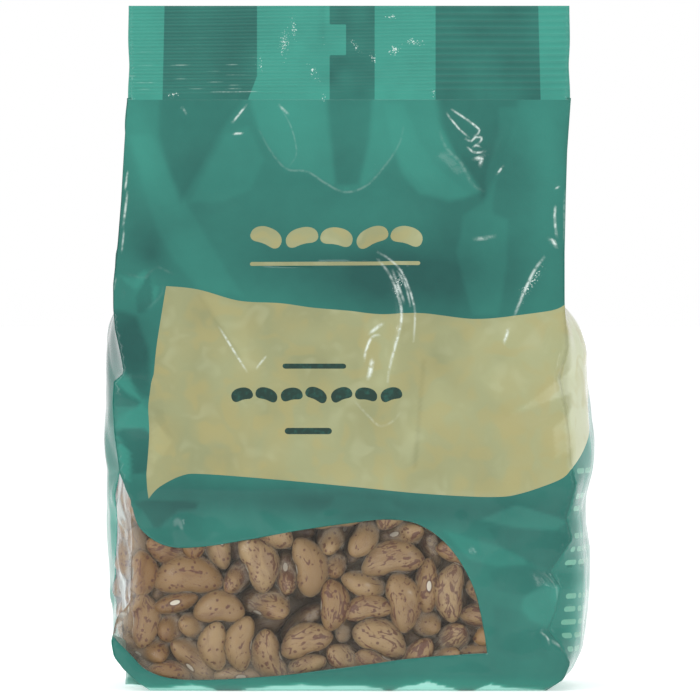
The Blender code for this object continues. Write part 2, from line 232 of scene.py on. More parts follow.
def facet_noise(s, z, cell, seed):
    """Flat facets that meet in sharp folds, as crumpled film has: the planes of scattered points."""
    rng = np.random.default_rng(seed)
    warp_s = s + 0.25 * cell * value_noise(s, z, cell * 1.3, seed + 1)
    warp_z = z + 0.25 * cell * value_noise(s, z, cell * 1.3, seed + 2)
    best = np.full(s.shape, -FAR)
    for centre_s, centre_z in scattered_places(rng, int(130 / cell) + 3, int(160 / cell) + 3, cell):
        slope_s, slope_z = rng.normal(0, 0.35, 2)
        lift = rng.uniform(-0.3, 0.3) * cell
        ds = warp_s - centre_s
        dz = warp_z - centre_z
        plane = lift + slope_s * ds + slope_z * dz - (ds * ds + dz * dz) / cell * 0.55
        best = np.maximum(best, plane)
    return best / cell


def facet_painted_light(s, z, cell, seed):
    """One random tone between -1 and 1 for each flat facet of a gusset, with straight borders, used as
    the facet's painted light and shade.
    """
    rng = np.random.default_rng(seed)
    nearest, second = np.full((2, *s.shape), FAR)
    tone, other = np.zeros((2, *s.shape))
    columns, rows = int(GUSSET_WIDTH / cell) + 2, int(SEAL_BOTTOM / cell) + 2
    for centre_s, centre_z in scattered_places(rng, columns, rows, cell):
        value = rng.uniform(-1, 1)
        distance = np.hypot(s - centre_s, z - centre_z)
        closer = distance < nearest
        between = ~closer & (distance < second)
        other = np.where(closer, tone, np.where(between, value, other))
        second = np.where(closer, nearest, np.where(between, distance, second))
        tone = np.where(closer, value, tone)
        nearest = np.where(closer, distance, nearest)
    own = 0.5 + 0.5 * smooth_step(0.0, 1.4, second - nearest)
    return own * tone + (1 - own) * other


def crease_line(s, z, points, width):
    """Tent along a line through points: 1 on it, 0 at the width, fading at both ends."""
    best = np.zeros(s.shape)
    total = len(points) - 1
    for k in range(total):
        (s0, z0), (s1, z1) = points[k], points[k + 1]
        ds, dz = s1 - s0, z1 - z0
        length_squared = ds * ds + dz * dz
        t = np.clip(((s - s0) * ds + (z - z0) * dz) / length_squared, 0, 1)
        distance = np.hypot(s - s0 - t * ds, z - z0 - t * dz)
        along = (k + t) / total
        fade = np.sin(np.pi * np.clip(along, 0.03, 0.97)) ** 0.6
        best = np.maximum(best, np.clip(1 - distance / width, 0, 1) * fade)
    return best


def spline(points, spacing=0.8):
    """A Catmull-Rom curve through the points, sampled evenly enough for a mesh edge."""
    points = np.array(points, dtype=float)
    padded = np.vstack([points[:1], points, points[-1:]])
    curve = []
    for k in range(len(points) - 1):
        p0, p1, p2, p3 = padded[k:k + 4]
        steps = max(1, int(round(np.linalg.norm(p2 - p1) / spacing)))
        for t in np.arange(steps) / steps:
            curve.append(0.5 * (2 * p1 + (p2 - p0) * t + (2 * p0 - 5 * p1 + 4 * p2 - p3) * t**2
                                + (3 * p1 - p0 - 3 * p2 + p3) * t**3))
    curve.append(points[-1])
    return np.array(curve)


def inside(polygon, s, z):
    """Even-odd test of many points against one closed outline."""
    hit = np.zeros(s.shape, dtype=bool)
    for (s0, z0), (s1, z1) in zip(polygon, np.roll(polygon, -1, axis=0)):
        crosses = (z0 > z) != (z1 > z)
        if z0 != z1:
            hit ^= crosses & (s < (s1 - s0) * (z - z0) / (z1 - z0) + s0)
    return hit


EDGE_HEIGHTS = np.unique(np.round(np.concatenate([
    np.linspace(0.0, SEAL_BOTTOM, 166), [48.3, 14.5, 97.8, 56.5],
]), 4))


def panel_mesh(panel, outlines, spacing):
    """Triangles over the panel with each outline as real edges: (points, faces)."""
    width = panel.width
    points = [(0.0, z) for z in EDGE_HEIGHTS] + [(width, z) for z in EDGE_HEIGHTS]
    count = len(EDGE_HEIGHTS)
    edges = [(start + i, start + i + 1) for start in (0, count) for i in range(count - 1)]
    columns = panel.edge_places()[1:-1]
    for z, first, last in ((0.0, 0, count), (SEAL_BOTTOM, count - 1, 2 * count - 1)):
        start = len(points)
        points += [(s, z) for s in columns]
        chain = [first] + list(range(start, start + len(columns))) + [last]
        edges += list(zip(chain, chain[1:]))
    for outline in outlines:
        start = len(points)
        points += [tuple(p) for p in outline]
        edges += [(start + i, start + i + 1) for i in range(len(outline) - 1)]
    fixed = np.array(points)
    rows = np.arange(0.5, SEAL_BOTTOM, spacing * 0.87)
    grid_s, grid_z = np.meshgrid(np.arange(spacing * 0.5, width, spacing), rows)
    grid_s = grid_s + (np.arange(len(rows))[:, None] % 2) * spacing * 0.5
    loose = np.stack([grid_s.ravel(), grid_z.ravel()], axis=-1)
    loose = loose[loose[:, 0] < width - 0.5]
    keep = np.ones(len(loose), dtype=bool)
    for block in np.array_split(fixed, 1 + len(fixed) // 40):
        gap = np.hypot(loose[:, None, 0] - block[None, :, 0], loose[:, None, 1] - block[None, :, 1])
        keep &= gap.min(axis=1) > spacing * 0.55
    loose = loose[keep]
    everything = [Vector((float(s), float(z))) for s, z in np.vstack([fixed, loose])]
    verts, _, faces, *_ = delaunay_2d_cdt(everything, edges, [], 0, 1e-5)
    return np.array([(v.x, v.y) for v in verts]), np.array([f[:] for f in faces if len(f) == 3])


def new_object(name, vertices, faces):
    """A mesh object in the scene, from points in metres and faces."""
    mesh = bpy.data.meshes.new(name)
    faces = faces.tolist() if isinstance(faces, np.ndarray) else faces
    mesh.from_pydata(np.asarray(vertices).tolist(), [], faces)
    mesh.update()
    obj = bpy.data.objects.new(name, mesh)
    bpy.context.scene.collection.objects.link(obj)
    return obj


def grid_faces(columns, rows, first=0):
    """Quads of a grid whose vertices run up each column in turn."""
    starts = [first + i * rows + j for i in range(columns - 1) for j in range(rows - 1)]
    return [(a, a + rows, a + rows + 1, a + 1) for a in starts]


@contextmanager
def mesh_edit(obj):
    """Opens an object's mesh for bmesh tools and writes it back."""
    bm = bmesh.new()
    bm.from_mesh(obj.data)
    yield bm
    bm.to_mesh(obj.data)
    bm.free()


def store(obj, name, values):
    """Keeps a value or a vector for each vertex under a name that the materials read."""
    values = np.ascontiguousarray(values, dtype=np.float32)
    kind, field = ("FLOAT_VECTOR", "vector") if values.ndim == 2 else ("FLOAT", "value")
    layer = obj.data.attributes.new(name, kind, "POINT")
    layer.data.foreach_set(field, values.ravel())


# Film relief

# Creases of the front panel, as seen from the front: points as X and height, half width, height.
# The back has the same ones, mirrored.
FRONT_CREASES = (
    (((50.4, 111.2), (46.1, 102.6), (40.8, 93.5)), 7.0, 0.60),
    (((8.0, 110.0), (13.0, 99.6), (13.0, 84.0)), 9.0, 0.70),
    (((-20.0, 138.0), (-16.0, 132.3), (-10.7, 131.6), (-1.1, 126.5)), 2.4, 0.16),
    (((-1.1, 126.5), (4.2, 127.9), (8.6, 132.3), (12.7, 138.4)), 2.4, 0.16),
    (((22.5, 136.5), (26.0, 131.0), (29.8, 127.6)), 3.2, 0.45),
    (((43.5, 148.0), (38.5, 137.0), (34.5, 128.0)), 4.0, 0.55),
    (((-48.6, 107.5), (-51.7, 104.5), (-54.8, 99.8)), 2.6, 0.26),
    (((-49.6, 106.6), (-46.6, 105.4), (-42.0, 103.0)), 2.6, 0.26),
    (((-54.4, 100.6), (-57.0, 103.0), (-59.6, 104.6)), 2.6, 0.30),
    (((-47.2, 103.0), (-47.5, 100.5), (-50.8, 96.9)), 2.8, 0.26),
    (((-58.5, 80.0), (-55.9, 76.3), (-51.6, 72.3)), 2.8, 0.60),
    (((-52.0, 84.0), (-49.5, 76.0), (-51.0, 66.0)), 4.0, -0.55),
    (((-55.2, 62.6), (-56.0, 58.5), (-57.6, 55.3)), 2.2, 0.70),
    (((60.0, 84.1), (56.5, 81.3), (51.4, 75.3), (40.3, 69.8)), 4.5, 1.10),
    (((54.7, 94.0), (53.9, 85.9), (52.0, 77.3)), 4.5, 0.80),
    (((34.0, 44.4), (39.8, 47.9), (45.8, 45.9), (53.4, 43.4)), 6.0, 0.40),
    (((32.6, 42.8), (38.2, 36.5), (45.8, 32.7), (52.4, 29.7)), 8.0, -0.35),
    (((42.8, 22.6), (48.4, 26.1), (51.4, 29.9)), 6.5, 0.35),
    (((51.4, 29.9), (52.6, 26.0), (54.9, 22.4)), 2.6, 0.50),
    (((40.0, 18.0), (45.8, 15.6), (50.8, 14.7)), 7.0, -0.35),
    (((50.6, 14.9), (53.0, 12.2), (56.0, 8.6)), 2.6, 0.60),
    (((50.6, 14.9), (49.4, 12.4), (50.0, 9.6)), 2.0, 0.40),
    (((30.0, 12.0), (39.0, 9.0), (48.0, 8.5)), 6.0, 0.35),
    (((-50.0, 2.2), (-38.0, 2.8), (-24.0, 2.2)), 2.2, 0.45),
    (((-26.0, 1.6), (-16.0, 4.4), (-8.0, 3.0), (4.0, 3.4)), 2.4, 0.55),
    (((20.0, 2.0), (29.0, 4.6), (38.0, 3.0), (48.0, 2.6)), 2.4, 0.55),
)
# Sharp creases with painted glints along them: points, half width, how white the painted glint is
GLINTS = (
    (((25.1, 146.3), (26.6, 144.3), (28.8, 141.8), (30.4, 140.6)), 0.36, 0.75),
    (((26.2, 147.5), (29.8, 145.1), (32.6, 142.9), (33.3, 142.1), (32.8, 141.0), (32.0, 140.4)), 0.38, 0.9),
    (((30.0, 139.8), (31.2, 139.2), (32.2, 140.2), (33.8, 140.2), (33.6, 139.2), (32.6, 138.4)), 0.40, 0.8),
    (((30.1, 137.8), (32.0, 136.4), (34.4, 136.5)), 0.40, 0.75),
    (((31.6, 137.6), (32.4, 138.2), (33.4, 137.8)), 0.40, 0.6),
    (((32.0, 134.6), (33.8, 134.9), (33.4, 133.0)), 0.70, 1.0),
    (((37.9, 130.9), (39.1, 132.6)), 0.40, 0.7),
    (((52.2, 127.1), (53.2, 127.8)), 0.36, 0.7),
    (((52.0, 122.7), (51.7, 119.4), (51.9, 115.2)), 0.42, 0.8),
    (((54.7, 126.7), (54.1, 122.7), (53.7, 115.4), (53.8, 113.4)), 0.40, 0.45),
    (((50.4, 114.2), (51.2, 113.8), (51.6, 112.6)), 0.60, 0.9),
    (((49.0, 109.6), (46.7, 106.1), (44.7, 101.7), (42.5, 96.4), (41.7, 94.8)), 0.50, 0.7),
    (((40.3, 91.6), (39.3, 88.4)), 0.60, 0.8),
    (((32.0, 114.4), (34.2, 114.6), (36.7, 115.0)), 0.70, 0.35),
    (((7.4, 109.3), (10.3, 105.3), (12.3, 100.4), (13.3, 95.6), (12.7, 91.0), (11.8, 87.8),
      (10.2, 81.7), (9.8, 78.5)), 0.50, 0.75),
    (((7.4, 111.1), (10.3, 109.3), (13.5, 105.7), (15.9, 99.7), (16.7, 95.2), (16.3, 88.4)), 0.42, 0.6),
    (((11.1, 106.1), (12.7, 101.7), (13.9, 98.4)), 0.50, 0.6),
    (((12.3, 106.1), (14.3, 102.5), (15.5, 97.4)), 0.40, 0.5),
    (((8.6, 93.0), (7.0, 92.0), (5.3, 90.6)), 0.60, 0.7),
    (((7.7, 90.2), (5.7, 89.6), (4.3, 86.2), (3.9, 84.1)), 0.50, 0.75),
    (((5.9, 84.2), (5.5, 81.6), (4.9, 79.3)), 0.80, 0.8),
    (((-32.6, 91.8), (-28.6, 85.3), (-26.0, 81.3)), 0.45, 0.6),
    (((-20.9, 84.9), (-22.2, 83.4), (-23.4, 81.7)), 0.40, 0.5),
    (((1.3, 73.7), (6.8, 67.9), (9.0, 67.4), (11.4, 68.8), (12.9, 70.8)), 0.45, 0.16),
    (((-48.6, 107.5), (-50.5, 106.0), (-51.7, 104.5), (-53.3, 104.8), (-56.0, 105.7)), 0.6, 0.03),
    (((-48.6, 107.5), (-44.8, 105.7)), 0.5, 0.04),
    (((-47.2, 103.0), (-47.5, 100.5), (-50.8, 96.9)), 0.6, 0.03),
    (((-56.2, 131.5), (-56.6, 127.2)), 0.34, 0.7),
    (((-56.1, 126.4), (-56.4, 122.0), (-56.8, 118.0)), 0.38, 0.6),
    (((-56.6, 117.0), (-57.0, 111.2)), 0.30, 0.45),
    (((-58.4, 104.5), (-58.7, 101.4)), 0.34, 0.5),
    (((-26.5, 148.3), (-29.5, 144.5)), 0.42, 0.8),
    (((-17.7, 148.3), (-15.4, 146.2)), 0.45, 0.5),
    (((-42.5, 147.7), (-41.9, 146.8)), 0.40, 0.8),
    (((-29.5, 141.2), (-27.3, 141.3)), 0.42, 0.8),
    (((-22.9, 142.0), (-20.0, 136.8), (-16.0, 132.3), (-10.7, 131.6), (-5.9, 128.7), (-1.1, 126.5),
      (4.2, 127.9), (8.6, 132.3), (12.7, 138.4), (13.9, 142.9)), 0.42, 0.11),
    (((-17.7, 148.3), (-14.8, 143.0), (-13.4, 136.5), (-14.9, 133.4)), 0.34, 0.08),
    (((23.3, 141.6), (24.9, 137.6), (28.6, 133.6), (31.4, 128.3), (34.4, 126.5)), 0.60, 0.10),
    (((-57.9, 5.0), (-55.0, 2.8), (-51.0, 0.9)), 0.60, 0.35),
    (((51.0, 29.8), (52.6, 28.4), (54.2, 24.6), (54.6, 22.6)), 0.50, 0.12),
    (((50.0, 14.9), (51.6, 13.6), (51.2, 12.0)), 0.60, 0.45),
    (((52.4, 12.9), (54.6, 11.4), (56.2, 8.6)), 0.80, 0.28),
)
# Where the two front creases run, as X and height; the back ones wander by a seeded draw
CREASE_PATHS = {
    "front_left": (
        (-56.8, 150.4), (-57.5, 136.5), (-58.1, 123.9), (-58.8, 113.8), (-59.9, 102.9), (-59.8, 97.0),
        (-59.3, 91.5), (-57.7, 84.6), (-57.0, 80.6), (-59.6, 78.4), (-59.9, 73.2), (-59.5, 65.6),
        (-58.1, 55.3), (-55.2, 48.4), (-54.7, 37.8), (-54.8, 28.9), (-55.2, 22.6), (-58.8, 18.8),
        (-60.3, 12.5), (-59.6, 8.7), (-57.0, 5.4), (-53.6, 2.3), (-50.4, 0.0),
    ),
    "front_right": (
        (56.8, 150.4), (55.7, 136.5), (55.2, 123.9), (54.8, 111.2), (54.7, 98.6), (54.9, 93.5),
        (55.5, 87.2), (53.4, 79.6), (54.9, 72.0), (55.9, 64.4), (56.2, 58.0), (57.4, 52.5),
        (55.0, 43.9), (56.4, 38.5), (51.0, 30.4), (53.4, 26.4), (52.2, 20.0), (50.4, 15.5),
        (53.4, 11.7), (56.0, 7.0), (54.4, 3.0), (50.0, 0.0),
    ),
}
CORNER_SEEDS = {"front_left": 5, "front_right": 17, "back_left": 29, "back_right": 43}
CORNER_KNOTS = 24
CORNER_REACH = 13.0


def corner_push(corner, z):
    """How far an upright crease is pushed from its smooth place at each height, as x and y."""
    rng = np.random.default_rng(CORNER_SEEDS[corner])
    knots = np.cumsum(rng.uniform(6, 12, size=CORNER_KNOTS)) - 8
    wobble = rng.uniform(-1, 1, size=(CORNER_KNOTS, 2)) * (2.2, 1.3)
    calm = smooth_step(0.0, 6.0, z) * (1 - smooth_step(108.0, 146.0, z))
    y = np.interp(z, knots, wobble[:, 1]) * calm
    if corner in CREASE_PATHS:
        path = np.array(CREASE_PATHS[corner])[::-1]
        left, right, *_ = form_at(z)
        smooth_x = -left if corner == "front_left" else right
        x = np.interp(z, path[:, 1], path[:, 0]) - smooth_x
        y = 0.6 * y + 0.25 * np.abs(x) * smooth_step(0.0, 6.0, z)
    else:
        x = np.interp(z, knots, wobble[:, 0]) * calm
    return np.stack([x, y, np.zeros_like(x)], axis=-1)


def corners_of(panel):
    """The crease at the panel's start and the one at its end."""
    return {
        "front": ("front_left", "front_right"),
        "back": ("back_left", "back_right"),
        "left": ("front_left", "back_left"),
        "right": ("front_right", "back_right"),
    }[panel.name]


def glint_edges(panel):
    """Each sharp crease as three lines for the mesh: its ridge and its two sides."""
    lines = []
    for points, half, _ in GLINTS:
        ridge = panel.from_front_view(spline(points, 0.6))
        along = np.gradient(ridge, axis=0)
        across = np.stack([-along[:, 1], along[:, 0]], axis=-1)
        across *= half / np.linalg.norm(across, axis=1, keepdims=True)
        for line in (ridge, ridge + across, ridge - across):
            lines.append(np.clip(line, (0.5, 0.4), (panel.width - 0.5, SEAL_BOTTOM - 0.4)))
    return lines


def glint_white(panel, s, z):
    """How white the painted glints make the film at each place, from 0 to 1, along its sharp creases."""
    white = np.zeros(s.shape)
    for points, half, amount in GLINTS:
        line = panel.from_front_view(spline(points, 0.6))
        white = np.maximum(white, amount * crease_line(s, z, line, half * 1.02) ** 1.2)
    return white


def bean_bumps(s, z, seed):
    """Soft bumps of the beans that press on the film from inside."""
    rng = np.random.default_rng(seed)
    pitch = 9.6
    best = np.zeros(s.shape)
    for centre_s, centre_z in scattered_places(rng, int(116 / pitch), int(96 / pitch), pitch, 0.5, 0.35):
        turn = rng.uniform(0, math.pi)
        ds, dz = s - centre_s, z - centre_z
        along = (ds * math.cos(turn) + dz * math.sin(turn)) / 7.0
        over = (dz * math.cos(turn) - ds * math.sin(turn)) / 4.6
        best = np.maximum(best, np.clip(1 - along * along - over * over, 0, 1))
    return best * (1 - smooth_step(FILL_HEIGHT - 14, FILL_HEIGHT, z)) * smooth_step(2, 8, z)


def panel_relief(panel, s, z):
    """How far the film stands off its smooth form, in millimetres, before the upright creases."""
    edge = np.minimum(s, panel.width - s)
    near_edge = np.exp(-((edge / 17.0) ** 2))
    seed = {"front": 100, "back": 200, "left": 300, "right": 400}[panel.name]
    lift = 0.55 * value_noise(s, z, 31.0, seed) + 0.22 * value_noise(s, z, 13.0, seed + 1)
    facets = facet_noise(s, z, 19.0, seed + 2) - 0.15
    fine_facets = facet_noise(s, z, 9.0, seed + 3) - 0.15
    belly = 1 - smooth_step(80, 105, z)
    if panel.is_gusset:
        lift += 1.1 * smooth_step(50, 66, z) * (1 - smooth_step(90, 100, z)) * smooth_step(4, 18, edge)
        lift += 1.8 * facets * (0.35 + 0.65 * belly) + 0.35 * fine_facets
        lift *= 1 - smooth_step(98, 128, z)
    else:
        lift += (0.3 + 1.1 * near_edge) * facets * (0.3 + 0.7 * belly) + 0.25 * near_edge * fine_facets
        lift += 0.12 * (facet_noise(s, z, 6.5, seed + 6) - 0.15) * smooth_step(84, 104, z)
        lift += 0.16 * value_noise(s, 2.6 * z, 4.0, seed + 5) * smooth_step(139, 147, z)
    lift += 0.13 * bean_bumps(s, z, seed + 4)
    if not panel.is_gusset:
        for points, width, height in FRONT_CREASES:
            seen = [(-panel.side * x, up) for x, up in points]
            lift += height * crease_line(s, z, panel.from_front_view(seen), width)
        # Near the seal the front and the back lie over the folded gussets, so they only stand out
        lift = np.maximum(lift, 2.5 * (smooth_step(112, 134, z) - 1))
    if panel.name == "front":
        for points, half, white in GLINTS:
            lift += 0.22 * white * crease_line(s, z, panel.from_front_view(points), half + 0.6)
    calm = smooth_step(0.0, 6.0, z) * (1 - smooth_step(140.0, 149.5, z))
    return lift * calm * smooth_step(0.0, 2.2, edge)


def film_surface(panel, s, z):
    """Places of the wrinkled film, and the normals of its smooth form, in millimetres."""
    place = panel.smooth_point(s, z)
    normal = panel.normal(s, z)
    place = place + normal * panel_relief(panel, s, z)[..., None]
    first, last = corners_of(panel)
    for corner, distance in ((first, s), (last, panel.width - s)):
        fade = np.clip(1 - distance / CORNER_REACH, 0, 1) ** 2.4
        place += corner_push(corner, z) * fade[..., None]
    tuck = 0.05 * smooth_step(SEAL_BOTTOM - 0.2, SEAL_BOTTOM, z)
    place[..., 1] *= 1 - tuck / np.maximum(np.abs(place[..., 1]), 0.2)
    place[..., 2] = np.maximum(place[..., 2], 0.0)
    return place, normal


# Beans

BEAN_COUNT = 206
BEAN_LENGTH = 15.2
BEAN_WIDTH = 9.0
BEAN_THICKNESS = 6.6
BEAN_BEND = 1.6
BEAN_SPHERES = np.array([
    (-3.5, 0.5, 0), (0, 1.2, 0), (3.5, 0.5, 0), (-3.4, -1.4, 0), (0, -0.5, 0), (3.4, -1.4, 0),
    (-5.0, -0.6, 0), (5.0, -0.6, 0),
])
BEAN_RADII = np.array([3.1, 3.1, 3.1, 2.8, 3.0, 2.8, 2.6, 2.6])
TOUCHING_REACH = 15.5
FILM_ROOM = 0.7
BASE_ROOM = 1.4
# The heap: the front left corner of its core, dark with painted shade, its right end, its back and its top
CORE_LOW = (-44.0, -12.5)
HEAP_END = 45.0
HEAP_BACK = 12.0
HEAP_TOP = 58.0
HEAP_TOP_LEFT = 76.0
SCATTER_BOX = ((-60, -34, 4), (44, 10, 74))
BEAN_RINGS = 13
BEAN_SIDES = 22


def front_film(x, form):
    """The y of the smooth front film at each x."""
    left, right, depth, bulge, *_ = form
    share = np.clip((x - (right - left) / 2) / ((right + left) / 2), -1, 1)
    return -(depth + bulge * (1 - share * share))


def left_film(y, form):
    """The x of the smooth left gusset at each y."""
    left, _, depth, _, reach_left, _ = form
    share = np.clip(y / depth, -1, 1)
    return -(left + np.maximum(reach_left, 0) * (1 - share * share))


def keep_in_film(point, radius):
    """Moves sphere centres inside the film, off the base and off the core."""
    x, y, z = point[..., 0], point[..., 1], point[..., 2]
    z[...] = np.maximum(z, BASE_ROOM + radius)
    form = form_at(np.where(z < 12, z - 0.8 * radius, z))
    y[...] = np.maximum(y, front_film(x, form) + radius + FILM_ROOM)
    x[...] = np.maximum(x, left_film(y, form) + radius + FILM_ROOM)
    into_x = x + radius - CORE_LOW[0]
    into_y = y + radius - CORE_LOW[1]
    inside_core = (into_x > 0) & (into_y > 0)
    by_y = inside_core & (into_y <= into_x)
    by_x = inside_core & ~by_y
    y[by_y] -= into_y[by_y]
    x[by_x] -= into_x[by_x]
    x[...] = np.minimum(x, HEAP_END - radius)
    y[...] = np.minimum(y, HEAP_BACK - radius)
    z[...] = np.minimum(z, np.where(x > -40, HEAP_TOP, HEAP_TOP_LEFT) - radius)


def scattered_beans(count, rng):
    """Beans strewn behind the film, most with their thin axis out of it: (centres, turns)."""
    centre = np.empty((count, 3))
    for i in range(count):
        while True:
            x, y, z = centre[i] = rng.uniform(*SCATTER_BOX)
            if (y < CORE_LOW[1] or x < CORE_LOW[0]) and (z < 56 or x < -42):
                break
    outward = np.where(centre[:, :1] > CORE_LOW[0], (0.0, -1.0, 0.0), (-1.0, 0.0, 0.0))
    tilt = rng.normal(0, 1, size=(count, 3)) * rng.choice([0.28, 1.5], p=[0.75, 0.25], size=(count, 1))
    thin = unit_rows(outward + tilt)
    long = unit_rows(np.cross(thin, rng.normal(size=(count, 3))))
    return centre, np.stack([long, np.cross(thin, long), thin], axis=-1)


def pushed_apart(spheres, radius, first, second):
    """Moves the spheres of each pair of beans out of each other."""
    gap = spheres[first][:, :, None] - spheres[second][:, None]
    distance = np.linalg.norm(gap, axis=-1) + 1e-6
    overlap = np.clip(radius[first][:, :, None] + radius[second][:, None] - distance, 0, None)
    push = gap / distance[..., None] * overlap[..., None] * 0.5
    total = np.zeros_like(spheres)
    hits = np.zeros(spheres.shape[:2])
    for beans, way, others in ((first, 1, 2), (second, -1, 1)):
        np.add.at(total, beans, way * push.sum(axis=others))
        np.add.at(hits, beans, (overlap > 0).sum(axis=others))
    return spheres + total / np.maximum(hits, 1)[..., None] * 1.3


def rigid_turn(spheres, shape):
    """The turn of each bean that fits its moved spheres best."""
    spread = np.einsum("nki,nkj->nij", spheres - spheres.mean(axis=1)[:, None], shape)
    u, _, vt = np.linalg.svd(spread)
    u[:, :, 2] *= np.linalg.det(u @ vt)[:, None]
    return u @ vt


def settle(count, steps):
    """Packs beans behind the window, each as a rigid cluster of spheres: (centres, turns, sizes)."""
    rng = np.random.default_rng(21)
    size = rng.uniform(0.80, 1.14, size=count)
    centre, turn = scattered_beans(count, rng)
    shape = (BEAN_SPHERES - BEAN_SPHERES.mean(axis=0))[None] * size[:, None, None]
    radius = BEAN_RADII[None] * size[:, None]
    one, other = np.triu_indices(count, 1)
    for step in range(steps):
        spheres = centre[:, None] + np.einsum("nij,nkj->nki", turn, shape)
        if step % 6 == 0:
            near = np.linalg.norm(centre[one] - centre[other], axis=1) < TOUCHING_REACH
        spheres = pushed_apart(spheres, radius, one[near], other[near])
        press = 0.10 * max(0.0, 1 - step / (steps * 0.75))
        in_front = centre[:, 0] > CORE_LOW[0]
        spheres[in_front, :, 1] -= press
        spheres[~in_front, :, 0] -= press
        spheres[..., 2] -= press * 0.8
        keep_in_film(spheres, radius)
        centre = spheres.mean(axis=1)
        turn = rigid_turn(spheres, shape)
    return centre, turn, size


def bean_template():
    """Unit sphere with its poles at the bean's ends: (points, quads and triangles)."""
    points = [(-1.0, 0.0, 0.0)]
    for i in range(1, BEAN_RINGS):
        a = math.pi * i / BEAN_RINGS
        for j in range(BEAN_SIDES):
            b = 2 * math.pi * j / BEAN_SIDES
            points.append((-math.cos(a), math.sin(a) * math.cos(b), math.sin(a) * math.sin(b)))
    points.append((1.0, 0.0, 0.0))
    faces = []
    last = len(points) - 1
    for j in range(BEAN_SIDES):
        k = (j + 1) % BEAN_SIDES
        faces.append((0, 1 + k, 1 + j))
        for i in range(BEAN_RINGS - 2):
            a, b = 1 + i * BEAN_SIDES, 1 + (i + 1) * BEAN_SIDES
            faces.append((a + j, a + k, b + k))
            faces.append((a + j, b + k, b + j))
        end = 1 + (BEAN_RINGS - 2) * BEAN_SIDES
        faces.append((last, end + j, end + k))
    return np.array(points), np.array(faces)


def bean_shape(unit, rng):
    """One bean's points, in millimetres: an uneven kidney, flatter on its sides."""
    length = BEAN_LENGTH * rng.uniform(0.94, 1.07)
    width = BEAN_WIDTH * rng.uniform(0.93, 1.07)
    thick = BEAN_THICKNESS * rng.uniform(0.92, 1.05)
    blunt = rng.uniform(-0.10, 0.10)
    x, y, z = unit.T
    round_off = np.clip(1 - x * x, 0, 1) ** 0.08
    taper = 1 + blunt * x
    notch = 0.9 * rng.uniform(0.6, 1.3) * np.exp(-((x / 0.30) ** 2)) * np.clip(-y, 0, 1) ** 2
    local = np.stack([
        x * length / 2,
        y * width / 2 * taper * round_off + BEAN_BEND * rng.uniform(0.7, 1.25) * (0.38 - x * x) + notch,
        np.sign(z) * np.abs(z) ** 0.92 * thick / 2 * taper * round_off,
    ], axis=-1)
    wave = rng.uniform(0, 6.28, 3)
    local *= 1 + 0.012 * np.sin(local @ (0.9, 0.5, 0.7) + wave[0])[:, None]
    return local - BEAN_SPHERES.mean(axis=0)


def depth_behind_film(points):
    """How far each place lies behind the smooth film of the front or the left side."""
    x, y, z = points.T
    form = form_at(z)
    return np.minimum(y - front_film(x, form), x - left_film(y, form))


def beans_piece():
    """All the beans behind the window in one mesh, each with its own tone and local coordinates."""
    centre, turn, size = settle(BEAN_COUNT, 260)
    unit, triangles = bean_template()
    rng = np.random.default_rng(8)
    points, faces, local_points, tones = [], [], [], []
    for i in range(BEAN_COUNT):
        local = bean_shape(unit, rng) * size[i]
        points.append(centre[i] + local @ turn[i].T)
        faces.append(triangles + i * len(unit))
        local_points.append(local)
        tone = rng.uniform(0, 1, 3)
        tone[1] += 0.9 * smooth_step(36.0, 46.0, -centre[i][0])
        tones.append(np.tile(tone, (len(unit), 1)))
    obj = new_object("beans_in_bag", np.vstack(points) * MM, np.vstack(faces))
    store(obj, "bean_place", np.vstack(local_points))
    store(obj, "bean_tone", np.vstack(tones))
    store(obj, "behind_film", depth_behind_film(np.vstack(points)))
    obj.data.shade_smooth()
    return obj


def core_piece():
    """The heap behind the loose beans, dark with painted shade: an L-shaped block with a lumpy skin."""
    low_x, low_y = CORE_LOW
    right_end, back_end = HEAP_END - 1, HEAP_BACK - 1
    corners = np.array([(low_x, back_end), (low_x, low_y), (right_end, low_y), (right_end, back_end)])
    corner_along = np.concatenate([[0], np.cumsum(np.linalg.norm(np.diff(corners, axis=0), axis=1))])
    columns, rows = 110, 48
    along = np.linspace(0, corner_along[-1], columns)
    along, z = np.meshgrid(along, np.linspace(2.0, HEAP_TOP, rows), indexing="ij")
    edge = np.stack([np.interp(along, corner_along, corners[:, axis]) for axis in (0, 1)], axis=-1)
    inwards = unit_rows(np.array([0.0, 4.0]) - edge)
    edge = edge + inwards * (0.8 + 0.7 * value_noise(along, z, 6.0, 77))[..., None]
    points = np.concatenate([edge, z[..., None]], axis=-1).reshape(-1, 3)
    last = (columns - 1) * rows
    bottom = list(range(last, -1, -rows))
    top = list(range(rows - 1, last + rows, rows))
    ends = list(range(rows)) + list(range(last + rows - 1, last - 1, -1))
    obj = new_object("bean_core", points * MM, grid_faces(columns, rows) + [bottom, top, ends])
    with mesh_edit(obj) as bm:
        bmesh.ops.triangulate(bm, faces=[f for f in bm.faces if len(f.verts) > 4])
        bmesh.ops.recalc_face_normals(bm, faces=bm.faces[:])
    obj.data.shade_smooth()
    return obj


# Print outlines

def snapped(points, width):
    """Pulls the ends of an outline that runs off the panel exactly onto its crease."""
    points = points.copy()
    points[points[:, 0] < 0.3, 0] = 0.0
    points[points[:, 0] > width - 0.3, 0] = width
    return points


def closed(points):
    """The outline with its first point again at its end."""
    return np.vstack([points, points[:1]])


